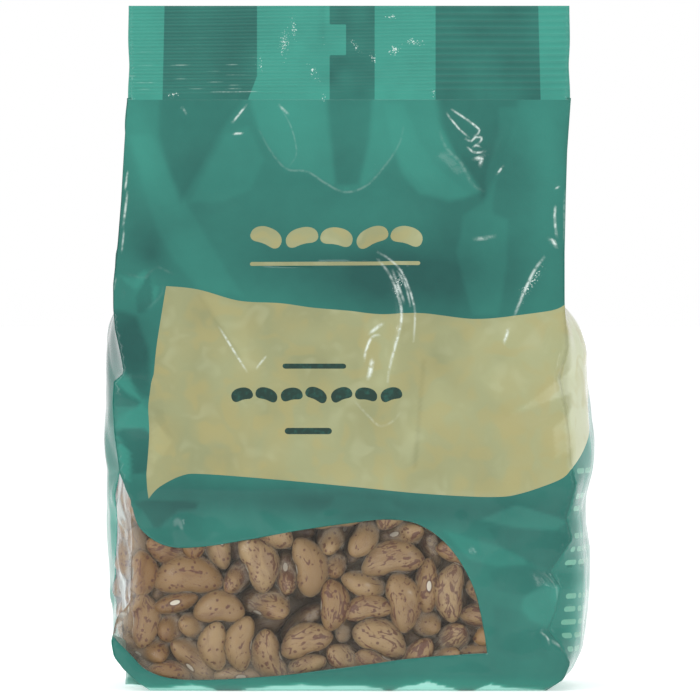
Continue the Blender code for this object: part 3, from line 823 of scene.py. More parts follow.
def bean_outline(centre_s, centre_z, length, height, tilt):
    """A plain kidney shape for the print."""
    t = np.linspace(0, 2 * math.pi, 30, endpoint=False)
    u = length / 2 * np.sign(np.cos(t)) * np.abs(np.cos(t)) ** 0.86
    v = height / 2 * np.sign(np.sin(t)) * np.abs(np.sin(t)) ** 0.85 - height * 0.08 * np.cos(t) ** 2
    v += height * 0.13 * np.clip(-np.sin(t), 0, 1) ** 8
    return closed(np.stack([
        centre_s + u * math.cos(tilt) - v * math.sin(tilt),
        centre_z + u * math.sin(tilt) + v * math.cos(tilt),
    ], axis=-1))


def bar_outline(centre_s, centre_z, length, height):
    """A bar with round ends for the print."""
    t = np.linspace(-math.pi / 2, math.pi / 2, 6)
    cap = (length - height) / 2
    right = np.stack([centre_s + cap + height / 2 * np.cos(t), centre_z + height / 2 * np.sin(t)], axis=-1)
    left = np.stack([centre_s - cap - height / 2 * np.cos(t), centre_z - height / 2 * np.sin(t)], axis=-1)
    return closed(np.vstack([right, left]))


def block_outline(low_s, low_z, high_s, high_z):
    """A plain block with a point at every millimetre."""
    corners = ((low_s, low_z), (high_s, low_z), (high_s, high_z), (low_s, high_z))
    sides = zip(corners, corners[1:] + corners[:1])
    return closed(np.vstack([np.linspace(a, b, int(math.dist(a, b)), endpoint=False) for a, b in sides]))


# Rows of bars on the right gusset, where words are: height, and how far the row reaches back
RIGHT_LINES = (
    (55.7, 22), (49.3, 19), (46.2, 12), (39.3, 15), (35.9, 22), (32.5, 20), (24.0, 19), (20.7, 14),
    (17.4, 16), (14.0, 21), (10.6, 12),
)
TEAL, CREAM, INK, PALE = range(4)
WINDOW = -1


def front_regions(panel):
    """Window, cream field and the plain shapes that stand where the words are."""
    def on_panel(*lists):
        curve = np.vstack([spline(points) for points in lists])
        keep = np.concatenate([[True], np.linalg.norm(np.diff(curve, axis=0), axis=1) > 0.05])
        return snapped(panel.from_front_view(curve[keep]), panel.width)
    regions = [
        (WINDOW, on_panel(FRONT_WINDOW_TOP, FRONT_WINDOW_BOTTOM)),
        (CREAM, on_panel(FRONT_CREAM_BOTTOM, FRONT_CREAM_LEFT, FRONT_CREAM_TOP)),
    ]
    middle = 54.0
    for i, tilt in enumerate((-22, 16, -10, 24, -16)):
        shape = bean_outline(middle + (i - 2) * 8.8, 115.2, 8.2, 4.9, math.radians(tilt))
        regions.append((CREAM, shape))
    regions.append((CREAM, bar_outline(middle, 108.3, 42.5, 1.0)))
    regions.append((INK, bar_outline(middle - 6.5, 82.4, 16.0, 1.3)))
    for i, tilt in enumerate((14, -18, 9, -26, 20, -8, 16)):
        shape = bean_outline(middle - 6.6 + (i - 3) * 6.3, 75.2, 5.6, 3.5, math.radians(tilt))
        regions.append((INK, shape))
    regions.append((INK, bar_outline(middle - 9.0, 66.0, 12.0, 1.6)))
    return regions


def left_regions(panel):
    """The part of the window that runs round onto the left gusset."""
    return [(WINDOW, snapped(spline(LEFT_WINDOW), panel.width))]


def right_regions(panel):
    """The cream field's end, and rows of bars where words are."""
    regions = [(CREAM, snapped(spline(RIGHT_CREAM), panel.width))]
    rng = np.random.default_rng(55)
    for height, line_length in RIGHT_LINES:
        start = 2.2
        while start < line_length:
            length = rng.uniform(2.0, 6.0)
            regions.append((PALE, bar_outline(start + length / 2, height, length, 1.35)))
            start += length + 1.1
    return regions


def back_regions(panel):
    """Two plain label fields with rows of bars, one on each side of the back seam."""
    regions = []
    for low, high in ((14.0, 45.0), (66.0, 97.0)):
        regions.append((CREAM, block_outline(low, 34.0, high, 100.0)))
        for i, share in enumerate((0.5, 0.9, 0.85, 0.92, 0.6, 0, 0.9, 0.8, 0.88, 0.4, 0, 0.7, 0.84)):
            if share:
                length = (high - low - 6) * share
                regions.append((INK, bar_outline(low + 3 + length / 2, 95.0 - i * 4.5, length, 1.0)))
    return regions


REGIONS = {"front": front_regions, "left": left_regions, "right": right_regions, "back": back_regions}


def region_of(regions, s, z):
    """The print of each place; a later region lies over an earlier one."""
    kind = np.full(s.shape, TEAL)
    for value, outline in regions:
        kind[inside(outline, s, z)] = value
    return kind


# Film over the beans

def neighbour_mean(values, edges, count):
    """For each mesh point, the mean value of the points that it shares an edge with."""
    total = np.zeros(len(values))
    np.add.at(total, edges[:, 0], values[edges[:, 1]])
    np.add.at(total, edges[:, 1], values[edges[:, 0]])
    return total / count


def drape_on_beans(place, normal, faces, reach_share, sink_share, tree):
    """Lets the film lift over beans, and sink between them where it may: (new places, gap under it)."""
    edges = np.unique(np.sort(np.vstack([faces[:, :2], faces[:, 1:], faces[:, ::2]]), axis=1), axis=0)
    count = np.bincount(edges.ravel(), minlength=len(place))
    reach = 7.0
    need = np.zeros(len(place))
    gap = np.full(len(place), 3.0)
    for i in np.nonzero(reach_share > 0)[0]:
        start = Vector(((place[i] + normal[i] * reach) * MM).tolist())
        hit = tree.ray_cast(start, Vector((-normal[i]).tolist()), 0.012)
        if hit[3] is not None:
            gap[i] = hit[3] / MM - reach
            need[i] = 0.14 - gap[i]
        else:
            need[i] = -2.0
    need = np.clip(need, -2.0 * sink_share, 3.0)
    lift = need.copy()
    for _ in range(14):
        lift = np.maximum(need, neighbour_mean(lift, edges, count))
    lift = lift * reach_share
    return place + normal * lift[:, None], gap + lift


def window_hold(panel, s, z):
    """1 over the window, fading to 0 a short way outside it."""
    if panel.name == "front":
        x = panel.smooth_point(s, z)[..., 0]
        area = smooth_step(-56, -50, x) * (1 - smooth_step(33, 40, x)) * (1 - smooth_step(44, 51, z))
    else:
        area = (1 - smooth_step(14, 22, s)) * (1 - smooth_step(60, 68, z))
    return area * smooth_step(3, 9, z)


# Light and dark fields on the front: where layers of film lie behind each other, and painted shade
# and painted highlights of folds, facets and the pale strip along the lower edge: outline, softness,
# amount. The back has the same ones, mirrored.
LAYER_AND_PAINTED_SHADE_FIELDS = (
    (((-48.0, 152.0), (-26.8, 152.0), (-27.6, 149.0), (-31.3, 144.0), (-34.3, 139.0), (-37.6, 132.7),
      (-42.8, 123.9), (-45.0, 129.0), (-46.5, 134.0), (-48.6, 141.0), (-48.6, 148.0)), 1.0, 0.17),
    (((-56.5, 141.0), (-50.4, 141.0), (-46.0, 132.0), (-41.1, 123.0), (-34.5, 112.0), (-26.8, 100.0),
      (-37.7, 101.5), (-44.0, 108.5), (-48.7, 116.3), (-52.5, 128.0)), 0.9, -0.1),
    (((-40.3, 123.9), (-37.7, 129.8), (-31.8, 140.8), (-25.9, 143.3), (-21.7, 134.8), (-25.1, 127.2),
      (-31.8, 123.9)), 0.8, -0.1),
    (((-25.1, 152.0), (-25.1, 148.2), (-22.9, 142.0), (-20.0, 136.8), (-16.0, 132.3), (-10.7, 131.6),
      (-5.9, 128.7), (-1.1, 126.5), (4.2, 127.9), (8.6, 132.3), (11.7, 136.0), (13.5, 131.0),
      (17.9, 126.0), (25.6, 123.9), (33.9, 126.4), (30.6, 131.4), (26.8, 136.5), (23.0, 144.0),
      (22.0, 152.0)), 0.8, -0.22),
    (((23.0, 152.0), (24.3, 142.8), (26.8, 136.5), (30.6, 131.4), (34.4, 124.0), (36.5, 129.0),
      (39.5, 134.0), (42.0, 141.0), (43.5, 152.0)), 1.0, 0.16),
    (((-5.6, 152.0), (-5.4, 146.0), (-3.4, 128.0), (2.5, 128.0), (5.2, 140.0), (6.0, 152.0)), 0.9,
      0.26),
    (((34.6, 125.5), (33.8, 123.5), (29.0, 120.6), (28.4, 115.4), (27.2, 111.4), (28.6, 105.3),
      (31.2, 95.2), (37.9, 95.2), (39.9, 106.5), (40.5, 119.4), (36.7, 121.0), (36.5, 123.5),
      (37.9, 130.7), (42.5, 141.2), (42.7, 148.0), (38.3, 148.0), (38.3, 142.0), (35.0, 131.0)), 0.6,
      -0.12),
    (((14.0, 149.0), (17.0, 141.0), (21.5, 133.5), (27.0, 129.0), (31.0, 125.5), (29.0, 124.0),
      (20.0, 126.5), (14.5, 132.0), (11.0, 138.0), (9.0, 149.0)), 0.7, -0.08),
    (((33.0, 43.4), (38.2, 45.7), (42.6, 47.2), (52.4, 44.2), (55.0, 42.8), (52.4, 40.8),
      (42.6, 41.6)), 0.5, -0.2),
    (((35.0, 41.4), (42.6, 41.0), (55.0, 40.2), (55.8, 36.0), (51.0, 30.8), (44.8, 33.2),
      (38.2, 36.9)), 0.5, 0.08),
    (((24.0, 40.8), (31.5, 38.5), (37.5, 37.0), (44.2, 33.8), (45.0, 32.3), (37.5, 31.8),
      (30.8, 33.2)), 0.6, -0.16),
    (((45.0, 31.9), (50.2, 29.8), (49.0, 26.0), (44.3, 24.2), (37.5, 25.7), (35.3, 30.2),
      (37.5, 31.3)), 0.6, 0.08),
    (((44.3, 23.9), (49.5, 27.6), (53.8, 26.4), (53.0, 21.0), (50.0, 16.0), (45.8, 18.2),
      (43.5, 21.2)), 0.6, -0.18),
    (((36.5, 22.0), (42.5, 20.5), (49.0, 14.5), (50.0, 9.0), (42.0, 8.0), (36.5, 11.0)), 0.9, 0.06),
    (((-54.5, 47.9), (-50.5, 48.5), (-38.2, 47.9), (-38.7, 46.2), (-43.2, 45.7), (-46.0, 43.4),
      (-48.3, 41.2), (-49.4, 41.7), (-52.2, 45.7)), 0.5, 0.2),
    (((-50.8, 106.8), (-51.6, 104.6), (-52.9, 102.4), (-54.0, 99.5), (-53.7, 96.3), (-52.9, 95.2),
      (-51.0, 96.3), (-49.7, 98.2), (-49.9, 100.8), (-50.3, 103.0), (-50.6, 105.2)), 0.4, 0.16),
    (((-58.4, 105.2), (-54.4, 104.6), (-52.5, 106.2), (-50.7, 107.1), (-51.9, 104.3), (-53.2, 102.0),
      (-54.1, 101.7), (-56.3, 103.0)), 0.5, -0.2),
    (((-53.2, 95.1), (-51.0, 96.7), (-49.4, 98.2), (-48.7, 100.5), (-48.1, 102.4), (-49.4, 102.7),
      (-49.9, 100.8), (-49.5, 98.6)), 0.4, -0.16),
    (((-62.0, 97.0), (-57.0, 96.0), (-53.7, 94.8), (-52.7, 91.0), (-50.9, 86.9), (-50.4, 81.8),
      (-49.9, 74.3), (-52.4, 74.3), (-55.2, 78.3), (-56.7, 80.8), (-62.0, 84.0)), 0.9, 0.22),
    (((-59.5, 79.1), (-57.0, 79.6), (-56.2, 80.8), (-52.7, 73.2), (-56.7, 76.3), (-58.8, 78.3)), 0.4,
      -0.2),
    (((-59.5, 77.8), (-56.7, 75.8), (-52.7, 73.2), (-54.2, 72.0), (-58.5, 72.2), (-59.5, 70.2),
      (-59.8, 74.2)), 0.4, 0.2),
    (((-59.3, 68.2), (-57.2, 70.2), (-54.2, 71.8), (-52.4, 73.0), (-49.9, 70.2), (-49.6, 65.1),
      (-52.2, 66.7), (-56.7, 66.7), (-58.8, 66.1)), 0.5, -0.18),
    (((-59.0, 66.1), (-56.2, 66.5), (-52.2, 66.5), (-49.6, 64.6), (-49.9, 58.0), (-50.4, 55.5),
      (-54.7, 55.0), (-55.5, 60.1), (-57.7, 63.6)), 0.5, 0.24),
    (((-59.0, 64.6), (-55.5, 60.6), (-55.5, 53.0), (-57.7, 54.5), (-58.8, 60.1)), 0.4, -0.25),
    (((-3.0, 49.6), (10.0, 48.6), (14.0, 45.4), (4.0, 46.0), (-8.0, 44.5)), 0.9, -0.1),
    (((9.0, -1.0), (12.9, 1.0), (17.4, 1.8), (20.0, 2.7), (22.6, 1.7), (26.3, 0.6), (30.0, -1.0)),
      0.3, -1.2),
    (((30.0, -1.0), (33.0, 0.8), (36.0, 1.9), (38.5, 1.2), (43.0, 0.6), (49.0, 0.4), (50.0, -1.0)),
      0.3, -1.2),
    (((-54.0, -1.0), (-53.0, 0.9), (-46.0, 1.0), (-40.0, 1.8), (-35.0, 0.9), (-31.0, -1.0)), 0.3,
      -1.1),
    (((-30.0, -1.0), (-26.0, 0.6), (-18.0, 1.5), (-12.0, 1.9), (-6.0, 1.2), (2.0, 1.6), (8.0, 0.8),
      (10.0, -1.0)), 0.3, -1.1),
)
# Soft patches of painted light and shade on the front: amount, X, height, reach across and up, tilt in
# degrees
PAINTED_SHADE_PATCHES = (
    (0.40, 12.0, 104.5, 30.0, 9.0, -4.0),
    (-0.12, -44.5, 122.0, 5.0, 27.0, 23.0),
    (0.20, -50.5, 111.0, 3.6, 5.0, 20.0),
    (-0.12, -51.0, 103.0, 4.0, 5.0, 0.0),
    (0.16, -54.5, 86.0, 5.0, 11.0, 6.0),
    (0.38, -5.0, 48.0, 45.0, 4.5, -3.0),
    (-0.08, 45.0, 20.0, 12.0, 12.0, 0.0),
    (-0.25, 53.5, 25.0, 2.4, 3.2, 0.0),
    (-0.22, 50.0, 138.0, 5.0, 14.0, 6.0),
    (-0.12, 50.0, 112.0, 5.0, 22.0, -3.0),
    (-0.16, -54.0, 138.0, 4.0, 12.0, 4.0),
    (-0.45, 0.0, 0.6, 70.0, 2.2, 0.0),
)


def soft_spot(x, z, middle_x, middle_z, reach_x, reach_z, tilt):
    """A soft ellipse: 1 in its middle, fading outwards."""
    turn = math.radians(tilt)
    u = (x - middle_x) * math.cos(turn) + (z - middle_z) * math.sin(turn)
    v = (z - middle_z) * math.cos(turn) - (x - middle_x) * math.sin(turn)
    return np.exp(-((u / reach_x) ** 2) - (v / reach_z) ** 2)


def distance_to_outline(outline, x, z):
    """Distance from each place to the closed outline, negative inside it."""
    nearest = np.full(x.shape, FAR)
    for (x0, z0), (x1, z1) in zip(outline, np.roll(outline, -1, axis=0)):
        dx, dz = x1 - x0, z1 - z0
        t = np.clip(((x - x0) * dx + (z - z0) * dz) / (dx * dx + dz * dz), 0, 1)
        nearest = np.minimum(nearest, np.hypot(x - x0 - t * dx, z - z0 - t * dz))
    return np.where(inside(outline, x, z), -nearest, nearest)


def layer_and_painted_shade(panel, place):
    """How dark the teal print looks at each place: 1 is dark, 0 light, and -1 pale with painted glare.
    Darker where film layers lie behind, with painted shade and highlights of folds and facets, and
    lighter towards the seal.
    """
    x, z = place[:, 0], place[:, 2]
    cloud = 0.10 * view_noise(x, z, 24.0, 61) + 0.05 * view_noise(x, z, 10.0, 62)
    if panel.is_gusset:
        behind = place[:, 1] + 31
        low = 1 - smooth_step(60, 90, z)
        # Painted glare: the gussets are paler low down. Painted shade: the left gusset is darker higher up,
        # the right one next to the front crease. Each facet gets its own painted light and shade.
        base = 0.45 - 0.35 * low
        if panel.side < 0:
            base += 0.52 * smooth_step(40, 56, z) + 0.14 * facet_painted_light(behind, z, 13.0, 63)
        else:
            base += low * 0.36 * (1 - smooth_step(2.0, 10.0, behind))
            base += (0.08 + 0.16 * low) * facet_painted_light(behind, z, 12.0, 69) * smooth_step(1.0, 6.0, behind)
        return np.clip(base + cloud, -1, 1)
    shade = 0.64 + cloud
    # Film layers behind the print, and painted shade and highlights of folds and facets
    add_fields(shade, LAYER_AND_PAINTED_SHADE_FIELDS, -panel.side * x, z)
    if panel.name == "front":
        for amount, *spot in PAINTED_SHADE_PATCHES:
            shade += amount * soft_spot(x, z, *spot)
    else:
        seam = 1 - smooth_step(5.4, 6.4, np.abs(x))
        shade += 0.2 * seam - 0.2 * smooth_step(120, 150, z) - 0.08
    return np.clip(shade - 0.10 * smooth_step(132, 150, z), -1, 1)


# Painted light and shade of folds and facets on the cream print: outline, softness, amount
CREAM_PAINTED_LIGHT_FIELDS = (
    (((41.0, 70.1), (60.4, 84.3), (60.0, 78.0), (54.9, 74.8)), 0.5, -0.45),
    (((33.0, 79.5), (41.0, 85.5), (50.0, 95.0), (60.0, 95.0), (60.4, 84.3), (41.0, 70.1),
      (37.0, 74.0)), 0.9, -0.16),
    (((51.6, 66.6), (51.9, 58.8), (55.6, 60.5), (60.0, 68.5), (57.0, 72.0)), 0.5, -0.35),
    (((4.0, 93.0), (8.5, 95.0), (13.0, 95.0), (12.0, 84.0), (9.5, 76.0), (3.0, 74.0), (2.5, 84.0)),
      0.9, -0.3),
    (((16.2, 56.5), (17.2, 57.0), (19.4, 84.0), (18.4, 84.0)), 0.4, 0.4),
    (((20.0, 90.0), (30.0, 92.0), (31.0, 84.0), (27.0, 77.0), (22.0, 80.0)), 0.8, 0.14),
    (((-37.5, 100.1), (-25.6, 97.9), (-26.0, 81.5), (-29.3, 87.5)), 0.7, -0.26),
    (((-38.5, 100.2), (-37.3, 100.2), (-25.8, 82.0), (-26.8, 81.6)), 0.5, 0.3),
    (((-48.7, 68.1), (-44.6, 63.3), (-49.4, 57.3), (-50.6, 62.0)), 0.5, -0.45),
    (((-49.8, 72.0), (-47.0, 71.0), (-44.6, 63.3), (-48.7, 68.1)), 0.5, 0.25),
)


def add_fields(tone, fields, x, z):
    """Adds each outlined field to the tone, in place."""
    for outline, soft, amount in fields:
        tone += amount * (1 - smooth_step(-soft, soft, distance_to_outline(outline, x, z)))


def cream_shade(place):
    """How dark the cream field looks at each place, from -1 to 1: duller towards the left, with painted
    light and shade of its folds, and pale with painted glare where it runs onto the right gusset.
    """
    x, z = place[:, 0], place[:, 2]
    tone = 0.5 - 0.35 * np.clip(x / 55, -1, 1) + 0.22 * view_noise(x, z, 14.0, 64)
    # Painted glare: paler where the field runs onto the right gusset
    tone += 0.20 * view_noise(x, z, 6.0, 65) - 1.0 * smooth_step(54.5, 58, x)
    add_fields(tone, CREAM_PAINTED_LIGHT_FIELDS, x, z)
    return np.clip(tone, -1, 1)


def cream_ghosts(place):
    """Where beans show faintly through the cream field, from 0 to 1."""
    x, z = place[:, 0], place[:, 2]
    left_low = smooth_step(-0.6, 0.6, view_noise(x, z, 22.0, 67))
    return bean_bumps(x + 60, z * 0.8, 68) * (0.3 + 0.7 * left_low) * (1 - smooth_step(92, 104, z))


# Where tiny painted flecks of light lie on crumpled film: X, height, reach across and up, tilt in degrees
FLECK_AREAS = (
    (-16.5, 164.4, 1.6, 4.5, 0.0), (-14.1, 168.5, 1.0, 4.5, 6.0), (-22.8, 159.1, 0.7, 3.6, 0.0),
    (-6.2, 164.9, 0.5, 3.0, 0.0), (-6.4, 150.8, 0.7, 2.0, 0.0), (1.5, 163.9, 0.7, 3.2, 35.0),
    (6.3, 160.9, 0.9, 2.6, 0.0), (11.6, 162.6, 1.8, 1.6, 0.0), (16.7, 164.7, 3.0, 1.2, -10.0),
    (21.3, 151.7, 0.7, 1.6, 0.0), (10.4, 171.2, 2.2, 0.7, 0.0), (46.2, 103.4, 1.5, 6.8, -32.0),
    (-9.0, 157.0, 3.0, 1.2, -60.0), (-45.0, 151.2, 2.0, 0.8, 0.0), (12.6, 103.2, 1.6, 4.4, -16.0),
)


def fleck_area(place):
    """How many painted flecks of light the film has at each place, from 0 to 1."""
    x, z = place[:, 0], place[:, 2]
    amount = np.zeros(len(x))
    for spot in FLECK_AREAS:
        amount = np.maximum(amount, soft_spot(x, z, *spot))
    return amount * (place[:, 1] < 0)


def panel_film(panel, tree):
    """A whole panel: its flat points, places, faces, gaps to the beans, and the print of each face."""
    in_front = panel.name == "front"
    regions = REGIONS[panel.name](panel)
    lines = [outline for _, outline in regions] + (glint_edges(panel) if in_front else [])
    flat, faces = panel_mesh(panel, lines, FRONT_SPACING if in_front else PANEL_SPACING)
    s, z = flat[:, 0], flat[:, 1]
    place, normal = film_surface(panel, s, z)
    gap = np.full(len(s), 3.0)
    if panel.name in ("front", "left"):
        free = smooth_step(1.0, 4.0, z) * smooth_step(0.0, 2.5, np.minimum(s, panel.width - s))
        free *= 1 - smooth_step(78, 84, z)
        place, gap = drape_on_beans(place, normal, faces, free, window_hold(panel, s, z), tree)
    a, b, c = place[faces[:, 0]], place[faces[:, 1]], place[faces[:, 2]]
    wrong = np.einsum("ij,ij->i", np.cross(b - a, c - a), normal[faces[:, 0]]) < 0
    faces[wrong] = faces[wrong][:, ::-1]
    middle = flat[faces].mean(axis=1)
    return flat, place, faces, gap, region_of(regions, middle[:, 0], middle[:, 1])


def print_piece(panel, flat, place, faces, kind):
    """The printed film of a panel, with the values that its materials read."""
    used, faces = np.unique(faces, return_inverse=True)
    obj = new_object(f"film_{panel.name}", place[used] * MM, faces.reshape(-1, 3))
    obj.data.polygons.foreach_set("material_index", kind.astype(np.int32))
    store(obj, "layers_and_painted_light", layer_and_painted_shade(panel, place[used]))
    store(obj, "cream_tone", cream_shade(place[used]))
    store(obj, "ghosts", cream_ghosts(place[used]))
    if panel.name == "front":
        store(obj, "painted_glint", glint_white(panel, flat[used, 0], flat[used, 1]))
    store(obj, "painted_flecks", fleck_area(place[used]))
    return obj


def window_piece(parts):
    """The clear film in one sheet, from each panel's places, faces, gaps and looseness, which places its
    painted glare.
    """
    places, part_faces, gaps, loose = zip(*parts)
    starts = np.cumsum([0] + [len(place) for place in places])
    faces = np.vstack([faces + start for faces, start in zip(part_faces, starts)])
    used, faces = np.unique(faces, return_inverse=True)
    window = new_object("window_film", np.vstack(places)[used] * MM, faces.reshape(-1, 3))
    store(window, "film_gap", np.concatenate(gaps)[used])
    store(window, "loose", np.concatenate(loose)[used])
    with mesh_edit(window) as bm:
        bmesh.ops.remove_doubles(bm, verts=bm.verts[:], dist=0.02 * MM)
    return window


def film_pieces(panels, beans):
    """The four printed panels and the clear window: {name: object}."""
    skin = beans.data
    tree = BVHTree.FromPolygons([v.co for v in skin.vertices], [p.vertices[:] for p in skin.polygons])
    made, window_parts = {}, []
    for name, panel in panels.items():
        flat, place, faces, gap, kind = panel_film(panel, tree)
        clear = kind == WINDOW
        if clear.any():
            off_crease = smooth_step(0.0, 2.5, flat[:, 0])
            # Painted glare streaks go on the left gusset away from its crease, and on the front next to it
            loose = off_crease if name == "left" else 0.8 * (1 - off_crease)
            window_parts.append((place, faces[clear], gap, loose))
        made[name] = print_piece(panel, flat, place, faces[~clear], kind[~clear])
    made["window"] = window_piece(window_parts)
    for obj in made.values():
        obj.data.shade_smooth()
    return made


LEAST_THICKNESS_SHARE = 0.08


def thicken(obj, thickness, share=None):
    """Gives a sheet its thickness on the inside, or only a share of it for each vertex."""
    solid = obj.modifiers.new("thickness", "SOLIDIFY")
    solid.thickness = thickness * MM
    solid.offset = -1.0
    solid.use_rim = True
    if share is not None:
        group = obj.vertex_groups.new(name="thickness")
        for index, weight in enumerate(share):
            group.add([index], float(weight), "REPLACE")
        solid.vertex_group = group.name
        solid.thickness_vertex_group = LEAST_THICKNESS_SHARE


# Seals, back seam and base

SEAL_DARK_ZONES = (
    ((-47.9, 149.0), (-47.3, 176.0), (-23.4, 176.0), (-23.4, 156.0), (-26.1, 149.0)),
    ((-5.1, 149.0), (-5.1, 176.0), (6.7, 176.0), (6.7, 149.0)),
    ((22.0, 149.0), (22.0, 176.0), (48.5, 176.0), (49.2, 149.0)),
)
SEAL_LIGHT_PATCH = ((-5.3, 161.5), (-0.9, 161.5), (-0.9, 169.1), (-5.3, 169.1))
SEAL_RIB_PITCH = 1.75
SEAL_RIB_HEIGHT = 0.12


def seal_middle(x, z):
    """1 in the middle of the seal, where its ribs are worn, and 0 at its ends."""
    return 1 - smooth_step(0.0, 0.6, np.abs(x) / 24.0 - 0.3 + 0.3 * view_noise(x, z, 9.0, 72))


def seal_relief(x, z):
    """The ribs across the seal, how far they are still there, and the crushed film between them."""
    lean = 0.012 * x + 0.25 * view_noise(x, z, 30.0, 71)
    turn = 2 * math.pi * (z - lean) / SEAL_RIB_PITCH
    dark_side = smooth_step(20, 23, x)
    rib = (0.22 + 0.50 * dark_side) * np.sin(turn) + (0.70 - 0.5 * dark_side) * np.sin(2 * turn + 0.6)
    left_over = 1 - 0.75 * seal_middle(x, z) * (1 - 0.6 * smooth_step(160, 170, z))
    crushed = 0.30 * facet_noise(x + 60, z - 140, 6.0, 73) + 0.12 * view_noise(x, z, 3.0, 74)
    rise = smooth_step(0.0, 2.0, z - SEAL_BOTTOM)
    return rib * rise, left_over, crushed * (1 - left_over) * rise


def seal_skins(x, z, rib, left_over, crushed):
    """Places of the seal's front and back, which close up towards both ends."""
    up = z - SEAL_BOTTOM
    half = form_at(np.minimum(z, SEAL_BOTTOM))[2] - 0.35 * smooth_step(0.0, 5.0, up)
    half = half - 0.10 + 0.15 * smooth_step(-0.8, -0.2, up)
    bend = 0.35 * view_noise(x, z, 26.0, 75) * smooth_step(0, 6, up)
    trim = 0.5 * value_noise(z, np.full_like(x, 3.0), 8.0, 76) * smooth_step(52, 56, np.abs(x)) * np.sign(x)
    flare = 0.5 * smooth_step(54, SEAL_HALF_WIDTH, np.abs(x)) * (1 - smooth_step(0, 9, up))
    spread = x + trim * 0.6 + np.sign(x) * flare
    front = -half + bend - SEAL_RIB_HEIGHT * rib * left_over - crushed
    back = half + bend - SEAL_RIB_HEIGHT * rib * left_over * 0.8
    taper = smooth_step(0, 0.5, SEAL_HALF_WIDTH - np.abs(x)) * 0.7 + 0.3
    middle = (front + back) / 2
    skins = [np.stack([spread, middle + (y - middle) * taper, z], axis=-1) for y in (front, back)]
    return np.concatenate(skins).reshape(-1, 3)


def seal_faces(columns, rows):
    """Faces of a closed slab: its front grid, its back grid, and the rim between them."""
    count = columns * rows
    grid = np.arange(count).reshape(columns, rows)
    rim = np.concatenate([grid[:-1, 0], grid[-1, :-1], grid[:0:-1, -1], grid[0, :0:-1]]).tolist()
    faces = grid_faces(columns, rows)
    faces += [(a, d, c, b) for a, b, c, d in grid_faces(columns, rows, count)]
    faces += [(a, a + count, b + count, b) for a, b in zip(rim, rim[1:] + rim[:1])]
    return faces


def seal_piece():
    """The crimped top seal: a closed slab with ribs."""
    columns = np.linspace(-SEAL_HALF_WIDTH, SEAL_HALF_WIDTH, 121)
    rows = np.linspace(SEAL_BOTTOM - 0.8, PACK_HEIGHT, 160)
    x, z = np.meshgrid(columns, rows, indexing="ij")
    rib, left_over, crushed = seal_relief(x, z)
    skins = seal_skins(x, z, rib, left_over, crushed)
    obj = new_object("top_seal", skins * MM, seal_faces(*x.shape))
    into_dark = np.max([-distance_to_outline(zone, x, z) for zone in SEAL_DARK_ZONES], axis=0)
    into_dark = np.minimum(into_dark, distance_to_outline(SEAL_LIGHT_PATCH, x, z))
    crest = np.clip(rib, 0, 1) ** 2 * left_over
    stripe = np.exp(-(((x + 7.0) / 0.35) ** 2)) * smooth_step(163, 166, z)
    cloud = 0.10 * view_noise(x, z, 8.0, 77) + 0.10 * seal_middle(x, z) * view_noise(x, z, 4.0, 78)
    # Painted highlights: the rib crests are lighter
    layers_and_painted_light = 0.10 + 0.5 * stripe + cloud - 0.22 * crest
    # Painted glints along the rib crests
    glint = crest * smooth_step(0.35, 0.8, view_noise(x, z * 6, 4.5, 79)) * (1 - smooth_step(152, 168, z))
    glint = glint * (1 - smooth_step(-24, -22, x)) * 0.6
    store(obj, "layers_and_painted_light", np.tile(layers_and_painted_light.ravel(), 2))
    store(obj, "into_dark", np.tile(into_dark.ravel(), 2))
    store(obj, "painted_glint", np.concatenate([glint.ravel(), np.zeros(glint.size)]))
    store(obj, "painted_flecks", fleck_area(skins))
    obj.data.shade_smooth()
    return obj


def strip(name, rows, columns, place_at, shade_at):
    """A strip of film made from a grid of places, with its shade along the first way."""
    u, v = np.meshgrid(np.linspace(0, 1, columns), np.linspace(0, 1, rows), indexing="ij")
    obj = new_object(name, place_at(u, v).reshape(-1, 3) * MM, grid_faces(columns, rows))
    store(obj, "layers_and_painted_light", shade_at(u).ravel())
    thicken(obj, STRIP_THICKNESS)
    obj.data.shade_smooth()
    return obj


def back_seam_piece(back):
    """The long seam folded over on the back, pressed with fine cross ribs."""
    def place_at(u, v):
        s = PANEL_HALF + (u - 0.5) * 11.5
        z = 1.5 + v * (SEAL_BOTTOM - 1.0 - 1.5)
        _, normal = film_surface(back, np.full_like(s, PANEL_HALF), z)
        smooth, _ = film_surface(back, s, z)
        stand = 0.22 + 0.38 * u + 0.12 * value_noise(s, z, 14.0, 91) + 0.06 * np.sin(2 * math.pi * z / 1.2)
        return smooth + normal * stand[..., None]

    return strip("back_seam", 500, 18, place_at, lambda u: 0.12 + 0.35 * smooth_step(0.8, 1.0, u))


def base_film_piece(panels):
    """The base film, drawn in from the lower edges of the four panels to a point in the middle."""
    ring = []
    for name, order in (("front", 1), ("right", 1), ("back", -1), ("left", -1)):
        s = panels[name].edge_places()
        place, _ = film_surface(panels[name], s, np.zeros(len(s)))
        ring.append(place[::order][:-1, :2])
    ring = np.vstack(ring)
    count, loops = len(ring), 14
    points = []
    for k in range(loops):
        share = 1 - k / loops
        uneven = 1 + 0.5 * value_noise(ring[:, 0] * share + 60, ring[:, 1] * share + 40, 12.0, 95)
        lift = 0.55 * (1 - share) ** 0.5 * uneven
        points.append(np.column_stack([ring * share, lift + 0.02]))
    points.append(np.array([[0.0, 0.0, 0.8]]))
    around = [(i, (i + 1) % count) for i in range(count)]
    last = (loops - 1) * count
    faces = [(k + j, k + i, k + count + i, k + count + j) for k in range(0, last, count) for i, j in around]
    faces += [(last + j, last + i, last + count) for i, j in around]
    base = new_object("base_film", np.vstack(points) * MM, faces)
    store(base, "layers_and_painted_light", np.full(len(base.data.vertices), 0.5))
    thicken(base, FILM_THICKNESS)
    base.data.shade_smooth()
    return base


